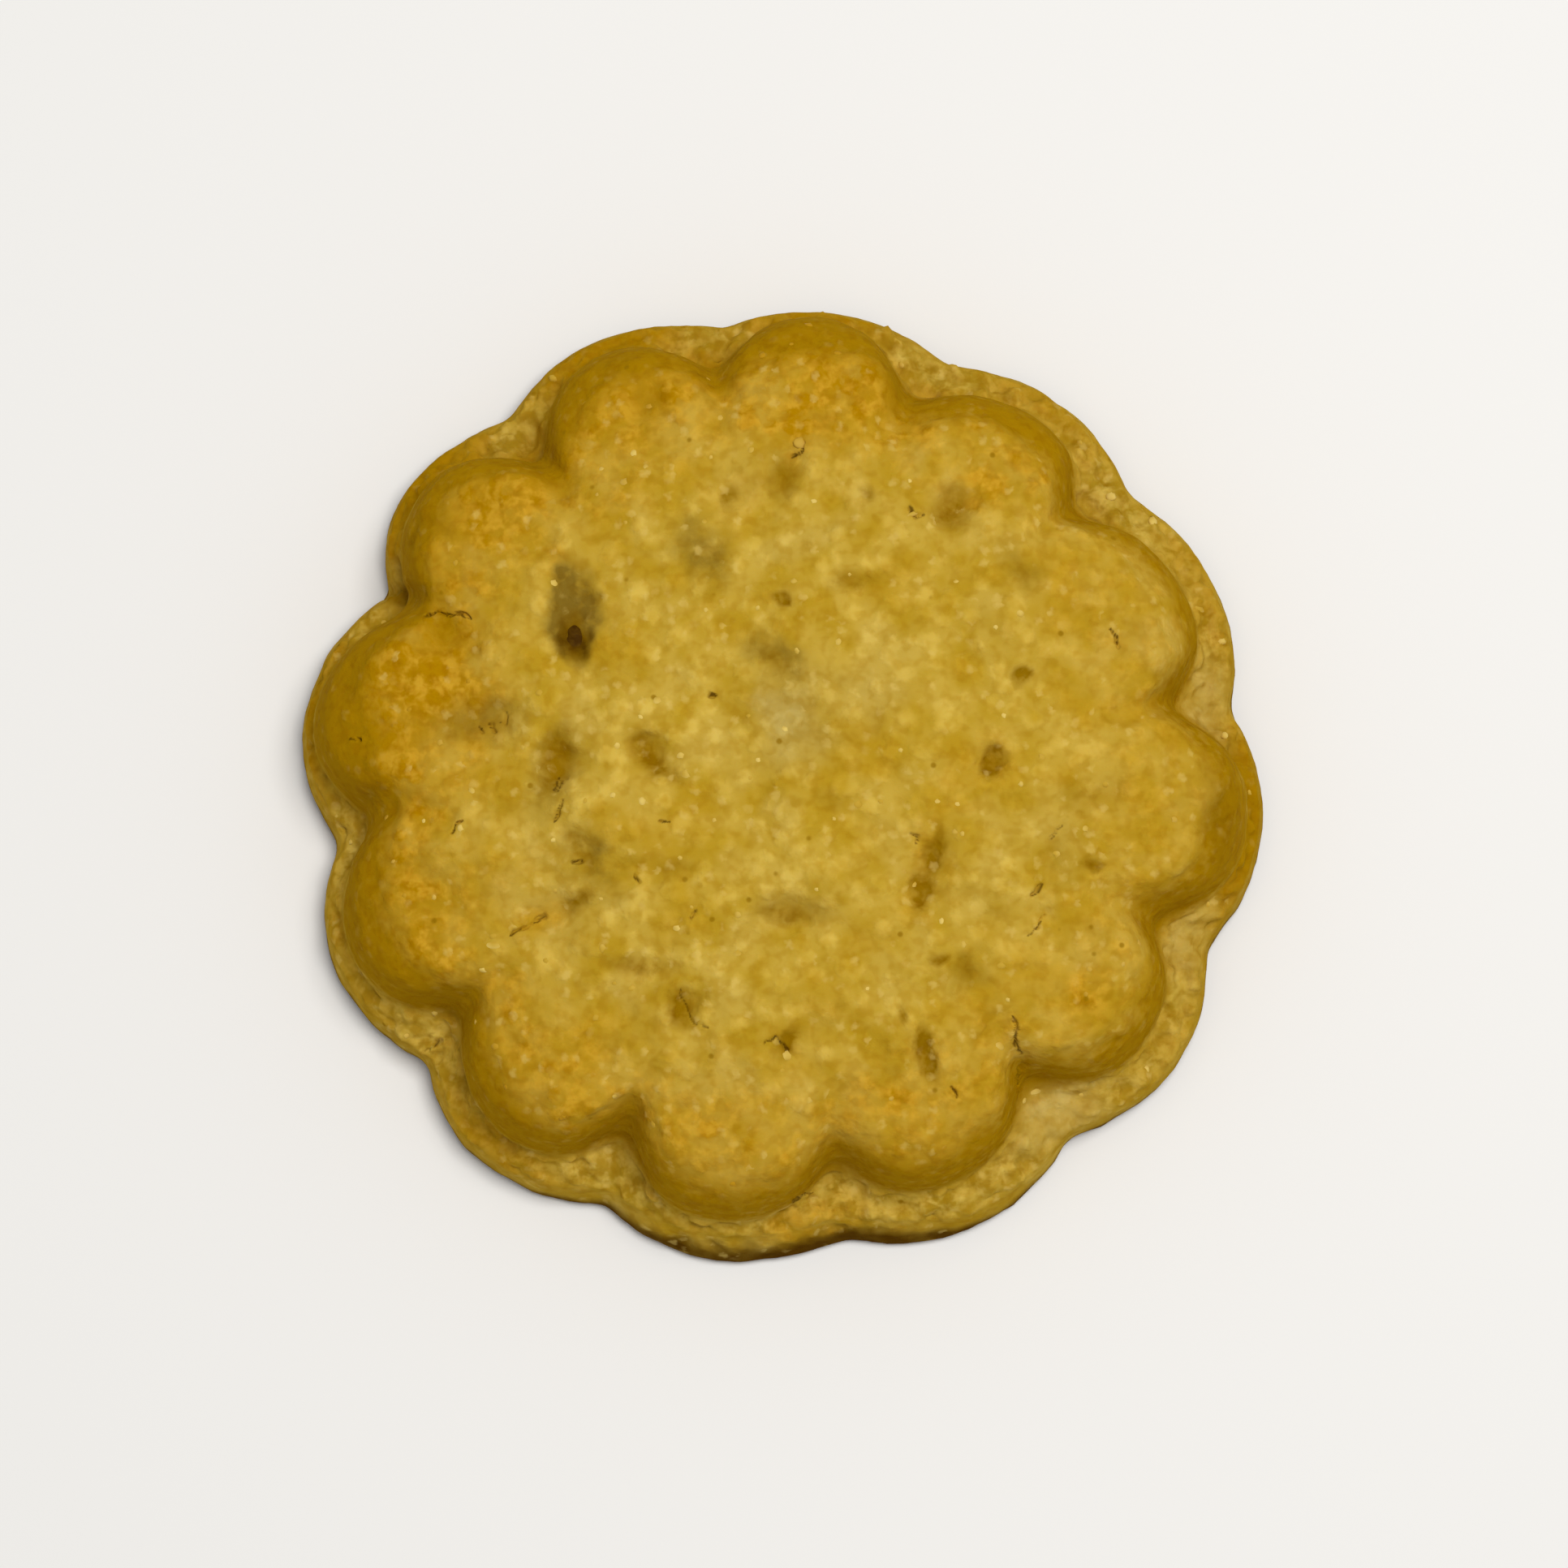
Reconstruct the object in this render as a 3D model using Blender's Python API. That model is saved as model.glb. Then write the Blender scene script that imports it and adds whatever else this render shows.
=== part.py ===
"""Maamoul: one moulded semolina biscuit, a fluted dome on a thin scalloped base.

The biscuit is a single closed solid in metres, +Z up. It rests flat on z = 0, and the middle of
its footprint is the origin. Its skin is a stack of rings that runs from the underside, round the
base's edge, over the flange, up the fluted wall and across the crown to the middle.
"""

import math
from dataclasses import dataclass

import bmesh
import bpy
from mathutils import Vector, noise

# Heights above the table, in metres.
BASE_THICKNESS = 0.0039
FOOT_HEIGHT = 0.0045
WALL_TOP_HEIGHT = 0.0116
CROWN_HEIGHT = 0.0142

# The base's edge: rounded below, leaning in towards its upper side, and spread out at the front.
UNDERSIDE_ROUND = 0.0007
EDGE_LEAN = 0.0003
FRONT_SPREAD = 0.0011
FRONT_ANGLE = 270.0
FRONT_HALF_WIDTH = 45.0
UPPER_ROUND = 0.0009

# The wall is a quarter of an oval: 1 is a straight slope, 2 is a plain ellipse.
WALL_TOP_RADIUS = 0.0258
WALL_ROUNDNESS = 1.85

# The crown falls by this power towards its edge, and its middle is a round of even rings.
CROWN_FALL = 2.4
CROWN_RADIUS = 0.0190
HALVING_RADII = (0.0130, 0.0062)
RING_SPACING = 0.0012

# Between two lobes a crease runs in over the crown's edge and dies away.
CREASE_DEPTH = 0.0014
CREASE_INNER_RADIUS = 0.0192
CREASE_OUTER_RADIUS = 0.0236
CREASE_SHARPNESS = 6.0

# The mould's lobes are arcs that meet at sharp notches: 2 is a round arc, more is fuller.
RIM_FULLNESS = 2.0
WALL_FULLNESS = 2.2
COLUMNS_PER_LOBE = 12
WALL_RINGS = 8
SHOULDER_RINGS = 5

# Slow unevenness of dough pressed by hand.
WAVE_HEIGHT = 0.00022
WAVE_LENGTH = 0.0046
FLANGE_WAVE_SHARE = 0.5
SWELLING_FADE = 1.3

# One row for each lobe, counter-clockwise: its angle in degrees, and its radius at the base's
# rim, at the foot of the wall and at the wall's top.
LOBES = (
    (24.0, 0.0299, 0.0276, 0.0240),
    (54.5, 0.0298, 0.0277, 0.0234),
    (86.0, 0.0301, 0.0292, 0.0248),
    (112.5, 0.0305, 0.0290, 0.0251),
    (140.5, 0.0302, 0.0289, 0.0254),
    (172.5, 0.0303, 0.0294, 0.0251),
    (202.0, 0.0302, 0.0288, 0.0243),
    (232.0, 0.0301, 0.0280, 0.0243),
    (260.5, 0.0299, 0.0276, 0.0238),
    (292.5, 0.0300, 0.0270, 0.0233),
    (324.5, 0.0301, 0.0276, 0.0239),
    (355.0, 0.0301, 0.0290, 0.0246),
)

# One row for each notch, each just before its lobe: angle and radius at the base's rim, angle
# and radius at the foot of the wall, and the radius where its crease meets the wall's top.
NOTCHES = (
    (9.7, 0.0284, 10.5, 0.0246, 0.0221),
    (40.2, 0.0284, 42.7, 0.0246, 0.0221),
    (68.6, 0.0285, 71.4, 0.0249, 0.0227),
    (97.4, 0.0292, 99.5, 0.0255, 0.0231),
    (126.3, 0.0288, 127.4, 0.0245, 0.0225),
    (153.8, 0.0274, 155.4, 0.0253, 0.0231),
    (187.4, 0.0279, 185.3, 0.0251, 0.0227),
    (218.1, 0.0281, 215.9, 0.0243, 0.0219),
    (247.1, 0.0283, 246.0, 0.0239, 0.0215),
    (278.0, 0.0285, 277.4, 0.0239, 0.0213),
    (309.4, 0.0282, 308.8, 0.0242, 0.0217),
    (339.0, 0.0283, 338.6, 0.0247, 0.0221),
)

# Swellings (height above 0) and dimples (height below 0) of the crown, one row each: x, y,
# length, width, turn of the length in degrees, height. Each fades out past its edge.
SWELLINGS_AND_DIMPLES = (
    (-0.0100, -0.0026, 0.0078, 0.0066, 20.0, 0.0007),
    (0.0118, -0.0066, 0.0070, 0.0054, 70.0, 0.0006),
    (0.0002, -0.0022, 0.0042, 0.0036, 0.0, 0.0003),
    (0.0140, 0.0084, 0.0050, 0.0044, 40.0, 0.0003),
    (-0.0129, 0.0098, 0.0058, 0.0030, 86.0, -0.0010),
    (0.0104, 0.0160, 0.0032, 0.0028, 60.0, -0.0010),
    (0.0042, 0.0113, 0.0042, 0.0022, 5.0, -0.0009),
    (0.0004, 0.0188, 0.0036, 0.0022, 70.0, -0.0009),
    (-0.0082, 0.0006, 0.0034, 0.0024, 135.0, -0.0010),
    (-0.0138, 0.0002, 0.0044, 0.0026, 80.0, -0.0009),
    (-0.0122, -0.0048, 0.0044, 0.0022, 125.0, -0.0009),
    (-0.0080, -0.0068, 0.0050, 0.0022, 165.0, -0.0008),
    (-0.0143, -0.0090, 0.0046, 0.0022, 25.0, -0.0009),
    (0.0088, -0.0062, 0.0060, 0.0022, 82.0, -0.0011),
    (0.0007, -0.0088, 0.0050, 0.0024, 0.0, -0.0010),
    (-0.0084, -0.0124, 0.0040, 0.0022, 0.0, -0.0008),
    (-0.0060, -0.0148, 0.0034, 0.0022, 30.0, -0.0008),
    (0.0128, 0.0004, 0.0032, 0.0022, 90.0, -0.0008),
    (0.0194, -0.0020, 0.0032, 0.0026, 30.0, -0.0006),
    (-0.0182, 0.0030, 0.0040, 0.0026, 20.0, -0.0005),
)

CRUST_COLOUR = (0.503, 0.323, 0.051, 1.0)
CRUST_ROUGHNESS = 0.75


@dataclass
class Column:
    """One upright strip of the skin: the lobe it lies in, and how far across that lobe it is."""

    lobe: int
    share: float

    def from_notch(self):
        """Return 1 at either notch of the lobe, and 0 at the lobe's middle."""
        return abs(2.0 * self.share - 1.0)


@dataclass
class Place:
    """A point of the skin by its angle in radians, its radius and its height."""

    angle: float
    radius: float
    height: float

    def point(self):
        """Return the place as a vector."""
        return Vector((self.radius * math.cos(self.angle), self.radius * math.sin(self.angle), self.height))


@dataclass
class Scallop:
    """A closed line of arcs between notches, such as the base's rim or the foot of the wall."""

    notches: list
    lobes: list
    fullness: float

    def at(self, column):
        """Return the line's angle in radians and its radius at a column."""
        start_angle, start_radius = self.notches[column.lobe]
        end_angle, end_radius = self.notches[(column.lobe + 1) % len(self.notches)]
        lobe_angle, lobe_radius = self.lobes[column.lobe]
        end_angle += 360.0 if end_angle < start_angle else 0.0
        lobe_angle += 360.0 if lobe_angle < start_angle else 0.0
        if column.share < 0.5:
            angle = mix(start_angle, lobe_angle, 2.0 * column.share)
        else:
            angle = mix(lobe_angle, end_angle, 2.0 * column.share - 1.0)
        chord = mix(start_radius, end_radius, column.share)
        bulge = 1.0 - column.from_notch() ** self.fullness
        return math.radians(angle), mix(chord, lobe_radius, bulge)


def mix(start, end, share):
    """Return the value that lies the given share of the way from start to end."""
    return start + (end - start) * share


def smooth(share):
    """Ease a share between 0 and 1, flat at both ends."""
    share = min(max(share, 0.0), 1.0)
    return share * share * (3.0 - 2.0 * share)


RIM = Scallop([row[0:2] for row in NOTCHES], [(row[0], row[1]) for row in LOBES], RIM_FULLNESS)
FOOT = Scallop([row[2:4] for row in NOTCHES], [(row[0], row[2]) for row in LOBES], WALL_FULLNESS)
WALL_TOP = Scallop(
    [(row[2], row[4]) for row in NOTCHES], [(row[0], row[3]) for row in LOBES], WALL_FULLNESS
)


def crown_surface(radius):
    """Return the height of the plain crown, highest in the middle."""
    return CROWN_HEIGHT - (CROWN_HEIGHT - WALL_TOP_HEIGHT) * (radius / WALL_TOP_RADIUS) ** CROWN_FALL


def relief(point):
    """Return how far the dough stands above or below the plain crown at a point."""
    total = WAVE_HEIGHT * noise.noise(point / WAVE_LENGTH)
    for x, y, length, width, turn, height in SWELLINGS_AND_DIMPLES:
        away = Vector((point.x - x, point.y - y))
        along = Vector((math.cos(math.radians(turn)), math.sin(math.radians(turn))))
        across = Vector((-along.y, along.x))
        reach = math.hypot(away.dot(along) / (length / 2.0), away.dot(across) / (width / 2.0))
        total += height * (1.0 - smooth(reach / SWELLING_FADE))
    return total


def crease(column, radius):
    """Return the depth of the crease between two lobes, which dies away towards the middle."""
    reach = smooth((radius - CREASE_INNER_RADIUS) / (CREASE_OUTER_RADIUS - CREASE_INNER_RADIUS))
    return CREASE_DEPTH * reach * column.from_notch() ** CREASE_SHARPNESS


def on_crown(column, angle, radius):
    """Return the crown's place at an angle and a radius."""
    place = Place(angle, radius, crown_surface(radius) - crease(column, radius))
    place.height += relief(place.point())
    return place


def base_edge(column):
    """Return the places from the underside round the base's edge and over the flange."""
    rim_angle, rim = RIM.at(column)
    foot_angle, foot = FOOT.at(column)
    off_front = abs((math.degrees(rim_angle) - FRONT_ANGLE + 180.0) % 360.0 - 180.0)
    lean = EDGE_LEAN + FRONT_SPREAD * (1.0 - smooth(off_front / FRONT_HALF_WIDTH))
    upper = rim - lean
    inset = min(UPPER_ROUND, 0.6 * (upper - foot))
    flange_start = Place(rim_angle, upper - inset, BASE_THICKNESS)
    places = [
        Place(rim_angle, rim - UNDERSIDE_ROUND, 0.0),
        Place(rim_angle, rim - 0.3 * UNDERSIDE_ROUND, 0.3 * UNDERSIDE_ROUND),
        Place(rim_angle, rim, UNDERSIDE_ROUND),
        Place(rim_angle, mix(rim, upper, 0.5), mix(UNDERSIDE_ROUND, BASE_THICKNESS - UPPER_ROUND, 0.6)),
        Place(rim_angle, upper, BASE_THICKNESS - UPPER_ROUND),
        Place(rim_angle, upper - 0.3 * inset, BASE_THICKNESS - 0.3 * UPPER_ROUND),
        flange_start,
    ]
    for share in (0.5, 0.85):
        angle = mix(rim_angle, foot_angle, share)
        radius = mix(flange_start.radius, foot, share)
        place = Place(angle, radius, mix(BASE_THICKNESS, FOOT_HEIGHT, share ** 2))
        place.height += FLANGE_WAVE_SHARE * relief(place.point())
        places.append(place)
    return places


def wall(column):
    """Return the places from the foot of the wall up and over to its top, a quarter of an oval."""
    foot_angle, foot = FOOT.at(column)
    top_angle, top = WALL_TOP.at(column)
    crown_edge = on_crown(column, top_angle, top)
    places = []
    for ring in range(WALL_RINGS):
        turn = math.radians(90.0) * ring / WALL_RINGS
        inward = 1.0 - math.cos(turn) ** (2.0 / WALL_ROUNDNESS)
        upward = math.sin(turn) ** (2.0 / WALL_ROUNDNESS)
        angle = mix(foot_angle, top_angle, inward)
        places.append(Place(angle, mix(foot, top, inward), mix(FOOT_HEIGHT, crown_edge.height, upward)))
    return places + [crown_edge]


def shoulder(column):
    """Return the places from just inside the wall's top to the crown's round middle."""
    top_angle, top = WALL_TOP.at(column)
    round_angle = math.radians((column.lobe + column.share) * 360.0 / len(LOBES) + NOTCHES[0][2])
    places = []
    for ring in range(1, SHOULDER_RINGS + 1):
        share = ring / SHOULDER_RINGS
        angle = mix(top_angle, round_angle, share)
        places.append(on_crown(column, angle, mix(top, CROWN_RADIUS, share)))
    return places


def outer_rings(columns):
    """Return the places of every ring outside the crown's round middle, from the bottom up."""
    strips = [base_edge(column) + wall(column) + shoulder(column) for column in columns]
    return [list(ring) for ring in zip(*strips)]


def extrude_ring(bm, ring, places):
    """Extrude a closed ring of points, move the new points to their places and return them."""
    edges = [bm.edges.get((point, after)) for point, after in zip(ring, ring[1:] + ring[:1])]
    made = bmesh.ops.extrude_edge_only(bm, edges=edges)["geom"]
    fresh = {item for item in made if isinstance(item, bmesh.types.BMVert)}
    raised = []
    for point, place in zip(ring, places):
        (above,) = [edge.other_vert(point) for edge in point.link_edges if edge.other_vert(point) in fresh]
        above.co = place.point()
        raised.append(above)
    return raised


def halve_ring(bm, ring):
    """Weld every second point of a ring into the one before it, and return what is left."""
    bmesh.ops.weld_verts(bm, targetmap=dict(zip(ring[1::2], ring[0::2])))
    return ring[0::2]


def build_crown(bm, ring, places, columns):
    """Carry a ring inwards over the crown in even steps, with fewer columns near the middle."""
    radius = CROWN_RADIUS
    angles = [place.angle for place in places]
    while radius > 1.5 * RING_SPACING:
        inner = radius - RING_SPACING
        ring = extrude_ring(bm, ring, [on_crown(c, a, inner) for c, a in zip(columns, angles)])
        if any(inner < limit <= radius for limit in HALVING_RADII):
            ring = halve_ring(bm, ring)
            angles = angles[0::2]
            columns = columns[0::2]
        radius = inner
    middle = bm.verts.new(on_crown(columns[0], 0.0, 0.0).point())
    for point, after in zip(ring, ring[1:] + ring[:1]):
        bm.faces.new((point, after, middle))


def build_skin(bm):
    """Build the whole closed skin, from the underside to the middle of the crown."""
    shares = [step / COLUMNS_PER_LOBE for step in range(COLUMNS_PER_LOBE)]
    columns = [Column(lobe, share) for lobe in range(len(LOBES)) for share in shares]
    rings = outer_rings(columns)
    underside = bmesh.ops.create_circle(bm, cap_ends=True, segments=len(columns), radius=CROWN_RADIUS)
    ring = underside["verts"]
    for point, place in zip(ring, rings[0]):
        point.co = place.point()
    for places in rings[1:]:
        ring = extrude_ring(bm, ring, places)
    build_crown(bm, ring, rings[-1], columns)


def centre_footprint(bm):
    """Slide the skin so that the middle of its bounding box stands over the origin."""
    xs = [vert.co.x for vert in bm.verts]
    ys = [vert.co.y for vert in bm.verts]
    shift = Vector((-(min(xs) + max(xs)) / 2.0, -(min(ys) + max(ys)) / 2.0, 0.0))
    bmesh.ops.translate(bm, verts=bm.verts, vec=shift)


def crust_material():
    """Return the plain baked crust: matt, straw yellow."""
    material = bpy.data.materials.new("baked_semolina_crust")
    material.use_nodes = True
    shader = material.node_tree.nodes["Principled BSDF"]
    shader.inputs["Base Color"].default_value = CRUST_COLOUR
    shader.inputs["Roughness"].default_value = CRUST_ROUGHNESS
    shader.inputs["Metallic"].default_value = 0.0
    return material


def build_biscuit():
    """Make the biscuit's object: one closed body with its faces pointing out."""
    bm = bmesh.new()
    build_skin(bm)
    centre_footprint(bm)
    bmesh.ops.recalc_face_normals(bm, faces=bm.faces)
    mesh = bpy.data.meshes.new("biscuit")
    bm.to_mesh(mesh)
    bm.free()
    mesh.shade_smooth()
    mesh.materials.append(crust_material())
    biscuit = bpy.data.objects.new("biscuit", mesh)
    bpy.context.collection.objects.link(biscuit)
    return biscuit


def main():
    """Clear the scene and build the biscuit in it."""
    for item in list(bpy.data.objects):
        bpy.data.objects.remove(item, do_unlink=True)
    build_biscuit()


main()
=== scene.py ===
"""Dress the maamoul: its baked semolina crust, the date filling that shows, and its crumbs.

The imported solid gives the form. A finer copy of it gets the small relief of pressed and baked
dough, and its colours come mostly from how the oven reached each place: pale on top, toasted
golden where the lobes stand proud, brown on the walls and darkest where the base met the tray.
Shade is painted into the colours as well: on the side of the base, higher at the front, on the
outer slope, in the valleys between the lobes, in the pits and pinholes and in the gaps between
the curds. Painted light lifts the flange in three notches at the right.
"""

import logging
import math
import random
from dataclasses import dataclass
from enum import Enum

import bpy
import numpy as np
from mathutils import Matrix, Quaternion, Vector, noise


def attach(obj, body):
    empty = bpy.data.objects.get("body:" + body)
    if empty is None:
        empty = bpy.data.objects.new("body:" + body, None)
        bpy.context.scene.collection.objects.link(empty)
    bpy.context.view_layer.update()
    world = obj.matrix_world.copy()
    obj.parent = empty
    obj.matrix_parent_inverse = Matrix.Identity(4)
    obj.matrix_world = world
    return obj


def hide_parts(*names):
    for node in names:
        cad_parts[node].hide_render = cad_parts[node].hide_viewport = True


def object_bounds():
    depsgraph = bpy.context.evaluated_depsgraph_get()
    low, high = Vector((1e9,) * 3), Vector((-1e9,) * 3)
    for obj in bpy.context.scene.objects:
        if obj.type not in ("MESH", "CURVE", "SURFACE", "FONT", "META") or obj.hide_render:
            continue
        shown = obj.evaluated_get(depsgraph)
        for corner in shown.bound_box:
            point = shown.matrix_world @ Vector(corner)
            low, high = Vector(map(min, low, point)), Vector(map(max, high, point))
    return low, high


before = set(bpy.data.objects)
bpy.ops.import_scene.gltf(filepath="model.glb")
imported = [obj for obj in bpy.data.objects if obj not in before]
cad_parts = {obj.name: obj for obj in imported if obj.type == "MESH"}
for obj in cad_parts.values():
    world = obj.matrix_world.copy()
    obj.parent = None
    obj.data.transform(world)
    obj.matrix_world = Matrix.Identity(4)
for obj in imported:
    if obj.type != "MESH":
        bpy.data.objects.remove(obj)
cad_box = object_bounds()

LOG = logging.getLogger("maamoul")
MM = 0.001
FRAME_PIXELS = 1932
NODE = "biscuit"
BODY = "root"
MIDDLE = (0.0, 0.0, 0.0)
DOWN = (0.0, 0.0, -1.0)
ABOVE_ALL_M = 1.0

Array = np.ndarray
Material = bpy.types.Material
Piece = bpy.types.Object
Socket = bpy.types.NodeSocket
Sockets = dict[str, Socket]
Tree = bpy.types.NodeTree


# ----------------------------------------
# Small helpers


def linear(code: str) -> tuple[float, float, float, float]:
    """Turn an sRGB hex colour into the linear colour that a shader takes.

    Args:
        code: six hex digits, with or without a leading #.

    Returns:
        Red, green, blue and an alpha of 1.
    """
    parts = [int(code.lstrip("#")[i:i + 2], 16) / 255.0 for i in (0, 2, 4)]
    red, green, blue = (p / 12.92 if p <= 0.04045 else ((p + 0.055) / 1.055) ** 2.4 for p in parts)
    return red, green, blue, 1.0


def ease(values: Array, low: float, high: float) -> Array:
    """Ease values from 0 at low to 1 at high, flat at both ends.

    Args:
        values: what to ease.
        low: the value that gives 0.
        high: the value that gives 1.

    Returns:
        One share for each value.
    """
    share = np.clip((values - low) / (high - low), 0.0, 1.0)
    return share * share * (3.0 - 2.0 * share)


def around_and_away(points: Array) -> tuple[Array, Array]:
    """Return each point's angle from the right, in degrees, and its distance from the middle."""
    return np.degrees(np.arctan2(points[:, 1], points[:, 0])), np.hypot(points[:, 0], points[:, 1])


@dataclass(frozen=True)
class Bumps:
    """Smooth random bumps of one height and size, in millimetres, from one of endless seeds."""

    height: float
    size: float
    seed: int

    def at(self, points: Array) -> Array:
        """Return how far the bumps raise or lower each point, given in millimetres.

        Args:
            points: one row for each point, in millimetres.

        Returns:
            One height for each point, in millimetres.
        """
        shift = Vector((17.3 * self.seed, -9.1 * self.seed, 5.7 * self.seed))
        rows = (points / self.size).tolist()
        return self.height * np.array([noise.noise(Vector(row) + shift) for row in rows])


def grains_at(points: Array, size: float, seed: int) -> Array:
    """Pack round grains at random: 1 in the middle of a grain and 0 between grains.

    Args:
        points: one row for each point, in millimetres.
        size: the distance between grains, in millimetres.
        seed: which of the endless packings to read.

    Returns:
        One value for each point.
    """
    shift = Vector((3.1 * seed, 7.7 * seed, -4.3 * seed))
    near = [noise.voronoi(Vector(row) + shift)[0][0] for row in (points / size).tolist()]
    return 1.0 - ease(np.array(near), 0.1, 0.7)


def make_active(piece: Piece) -> None:
    """Select one object alone and make it the active one."""
    bpy.ops.object.select_all(action="DESELECT")
    piece.select_set(True)
    bpy.context.view_layer.objects.active = piece


def apply_modifier(piece: Piece, kind: str, **settings: object) -> None:
    """Add a modifier to a piece, set it and apply it.

    Args:
        piece: the object to change.
        kind: the modifier's type, such as SUBSURF.
        settings: the modifier's properties.
    """
    make_active(piece)
    modifier = piece.modifiers.new(kind.lower(), kind)
    for name, value in settings.items():
        setattr(modifier, name, value)
    bpy.ops.object.modifier_apply(modifier=modifier.name)


def edit_faces(piece: Piece, chosen: Array) -> None:
    """Enter edit mode with the chosen faces of a piece selected and nothing else of it.

    Args:
        piece: an object in object mode.
        chosen: one true or false for each face.
    """
    mesh = piece.data
    mesh.vertices.foreach_set("select", np.zeros(len(mesh.vertices), dtype=bool))
    mesh.edges.foreach_set("select", np.zeros(len(mesh.edges), dtype=bool))
    mesh.polygons.foreach_set("select", chosen)
    make_active(piece)
    bpy.ops.object.mode_set(mode="EDIT")
    bpy.ops.mesh.select_mode(type="FACE")


def face_values(piece: Piece, name: str) -> Array:
    """Read the centre or the normal of each face.

    Args:
        piece: the object whose faces to read.
        name: center or normal.

    Returns:
        The values, in metres, one row a face.
    """
    values = np.empty(len(piece.data.polygons) * 3)
    piece.data.polygons.foreach_get(name, values)
    return values.reshape(-1, 3)


def read_points(piece: Piece) -> tuple[Array, Array]:
    """Read where a piece's points are and which way they face.

    Args:
        piece: the object to read.

    Returns:
        The points, in millimetres, and their normals, one row a point each.
    """
    count = len(piece.data.vertices) * 3
    points, normals = np.empty(count), np.empty(count)
    piece.data.vertices.foreach_get("co", points)
    piece.data.vertices.foreach_get("normal", normals)
    return points.reshape(-1, 3) / MM, normals.reshape(-1, 3)


def write_points(piece: Piece, points: Array) -> None:
    """Move a piece's points to new places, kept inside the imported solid's box.

    Args:
        piece: the object to change.
        points: the new places, in millimetres, one row a point.
    """
    low, high = np.array(cad_box[0]) / MM, np.array(cad_box[1]) / MM
    piece.data.vertices.foreach_set("co", (np.clip(points, low, high) * MM).ravel())
    piece.data.update()


def spread_over(piece: Piece, values: Array, passes: int) -> Array:
    """Blur one value for each point over a piece's surface, from point to neighbouring point.

    Args:
        piece: the object whose edges join the points.
        values: one value for each point.
        passes: how often each point takes half of its neighbours' mean.

    Returns:
        The blurred values.
    """
    ends = np.empty(len(piece.data.edges) * 2, dtype=np.int32)
    piece.data.edges.foreach_get("vertices", ends)
    one, other = ends[0::2], ends[1::2]
    neighbours = np.bincount(ends, minlength=len(values))
    for _ in range(passes):
        around = np.bincount(one, values[other], len(values))
        around += np.bincount(other, values[one], len(values))
        values = 0.5 * values + 0.5 * around / neighbours
    return values


def finish_piece(piece: Piece, material: Material) -> None:
    """Give a piece smooth shading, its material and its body.

    Args:
        piece: the finished object, at the origin, with its place in its mesh.
        material: what it is made of.
    """
    make_active(piece)
    bpy.ops.object.shade_smooth()
    piece.data.materials.clear()
    piece.data.materials.append(material)
    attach(piece, BODY)


def add_node(tree: Tree, kind: str, inputs: dict, **settings: object) -> bpy.types.Node:
    """Add a shader node with its settings, and link or fill its inputs.

    Args:
        tree: the material's node tree.
        kind: the node's type, without ShaderNode before it.
        inputs: for each input by name or number, another node's output or a value.
        settings: the node's own properties.

    Returns:
        The new node.
    """
    node = tree.nodes.new("ShaderNode" + kind)
    for name, value in settings.items():
        setattr(node, name, value)
    for name, value in inputs.items():
        if isinstance(value, Socket):
            tree.links.new(value, node.inputs[name])
        else:
            node.inputs[name].default_value = value
    return node


def start_material(name: str) -> tuple[Material, Tree]:
    """Start a material of nodes.

    Args:
        name: what the material really is.

    Returns:
        The material and its empty node tree.
    """
    material = bpy.data.materials.new(name)
    material.use_nodes = True
    material.node_tree.nodes.clear()
    return material, material.node_tree


def lay_over(tree: Tree, lowest: object, layers: tuple[tuple[Socket, object], ...]) -> Socket:
    """Lay colours over a lowest one, in turn.

    Args:
        tree: the material's node tree.
        lowest: a colour, as a hex code or as an output.
        layers: how much of each further colour shows, and that colour, as a hex code or an output.

    Returns:
        The output of the whole stack's colour.
    """
    colour = linear(lowest) if isinstance(lowest, str) else lowest
    for share, layer in layers:
        upper = linear(layer) if isinstance(layer, str) else layer
        colour = add_node(tree, "Mix", {0: share, 6: colour, 7: upper}, data_type="RGBA").outputs[2]
    return colour


def give_skin(tree: Tree, settings: dict) -> None:
    """End a material with one opaque skin.

    Args:
        tree: the material's node tree.
        settings: the skin's inputs by name, as outputs or values.
    """
    skin = add_node(tree, "BsdfPrincipled", settings)
    add_node(tree, "OutputMaterial", {"Surface": skin.outputs["BSDF"]})


# ----------------------------------------
# Marks on the crust, seen from above, in millimetres and degrees


class Tint(Enum):
    """What the oven or the hand did to the crust at a place, and painted shade and light, kept on the mesh.
    """

    TOASTED = "toasted"
    BROWNED_AND_SHADE = "browned_and_shade"
    THIN = "thin_crust"
    HOLLOW = "hollow"
    FLANGE = "flange"
    FLOURY_AND_LIT = "floury_and_lit"
    TRAY_AND_SHADE = "tray_side_and_shade"
    STAINED = "stained_by_filling"
    CRACK = "crack"


@dataclass(frozen=True)
class Oval:
    """An oval place on the crust, with how strong it is and how soft its edge is."""

    x: float
    y: float
    length: float
    width: float
    turn: float
    amount: float
    softness: float = 0.85

    def cover(self, points: Array) -> Array:
        """Cover the points inside the oval with 1, easing to 0 across its soft edge.

        Args:
            points: one row for each point, in millimetres.

        Returns:
            One value for each point, between 0 and 1.
        """
        turn = math.radians(self.turn)
        right = points[:, 0] - self.x
        ahead = points[:, 1] - self.y
        along = (right * math.cos(turn) + ahead * math.sin(turn)) / (self.length / 2.0)
        across = (ahead * math.cos(turn) - right * math.sin(turn)) / (self.width / 2.0)
        return 1.0 - ease(np.hypot(along, across), 1.0 - self.softness, 1.0 + self.softness)


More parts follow.
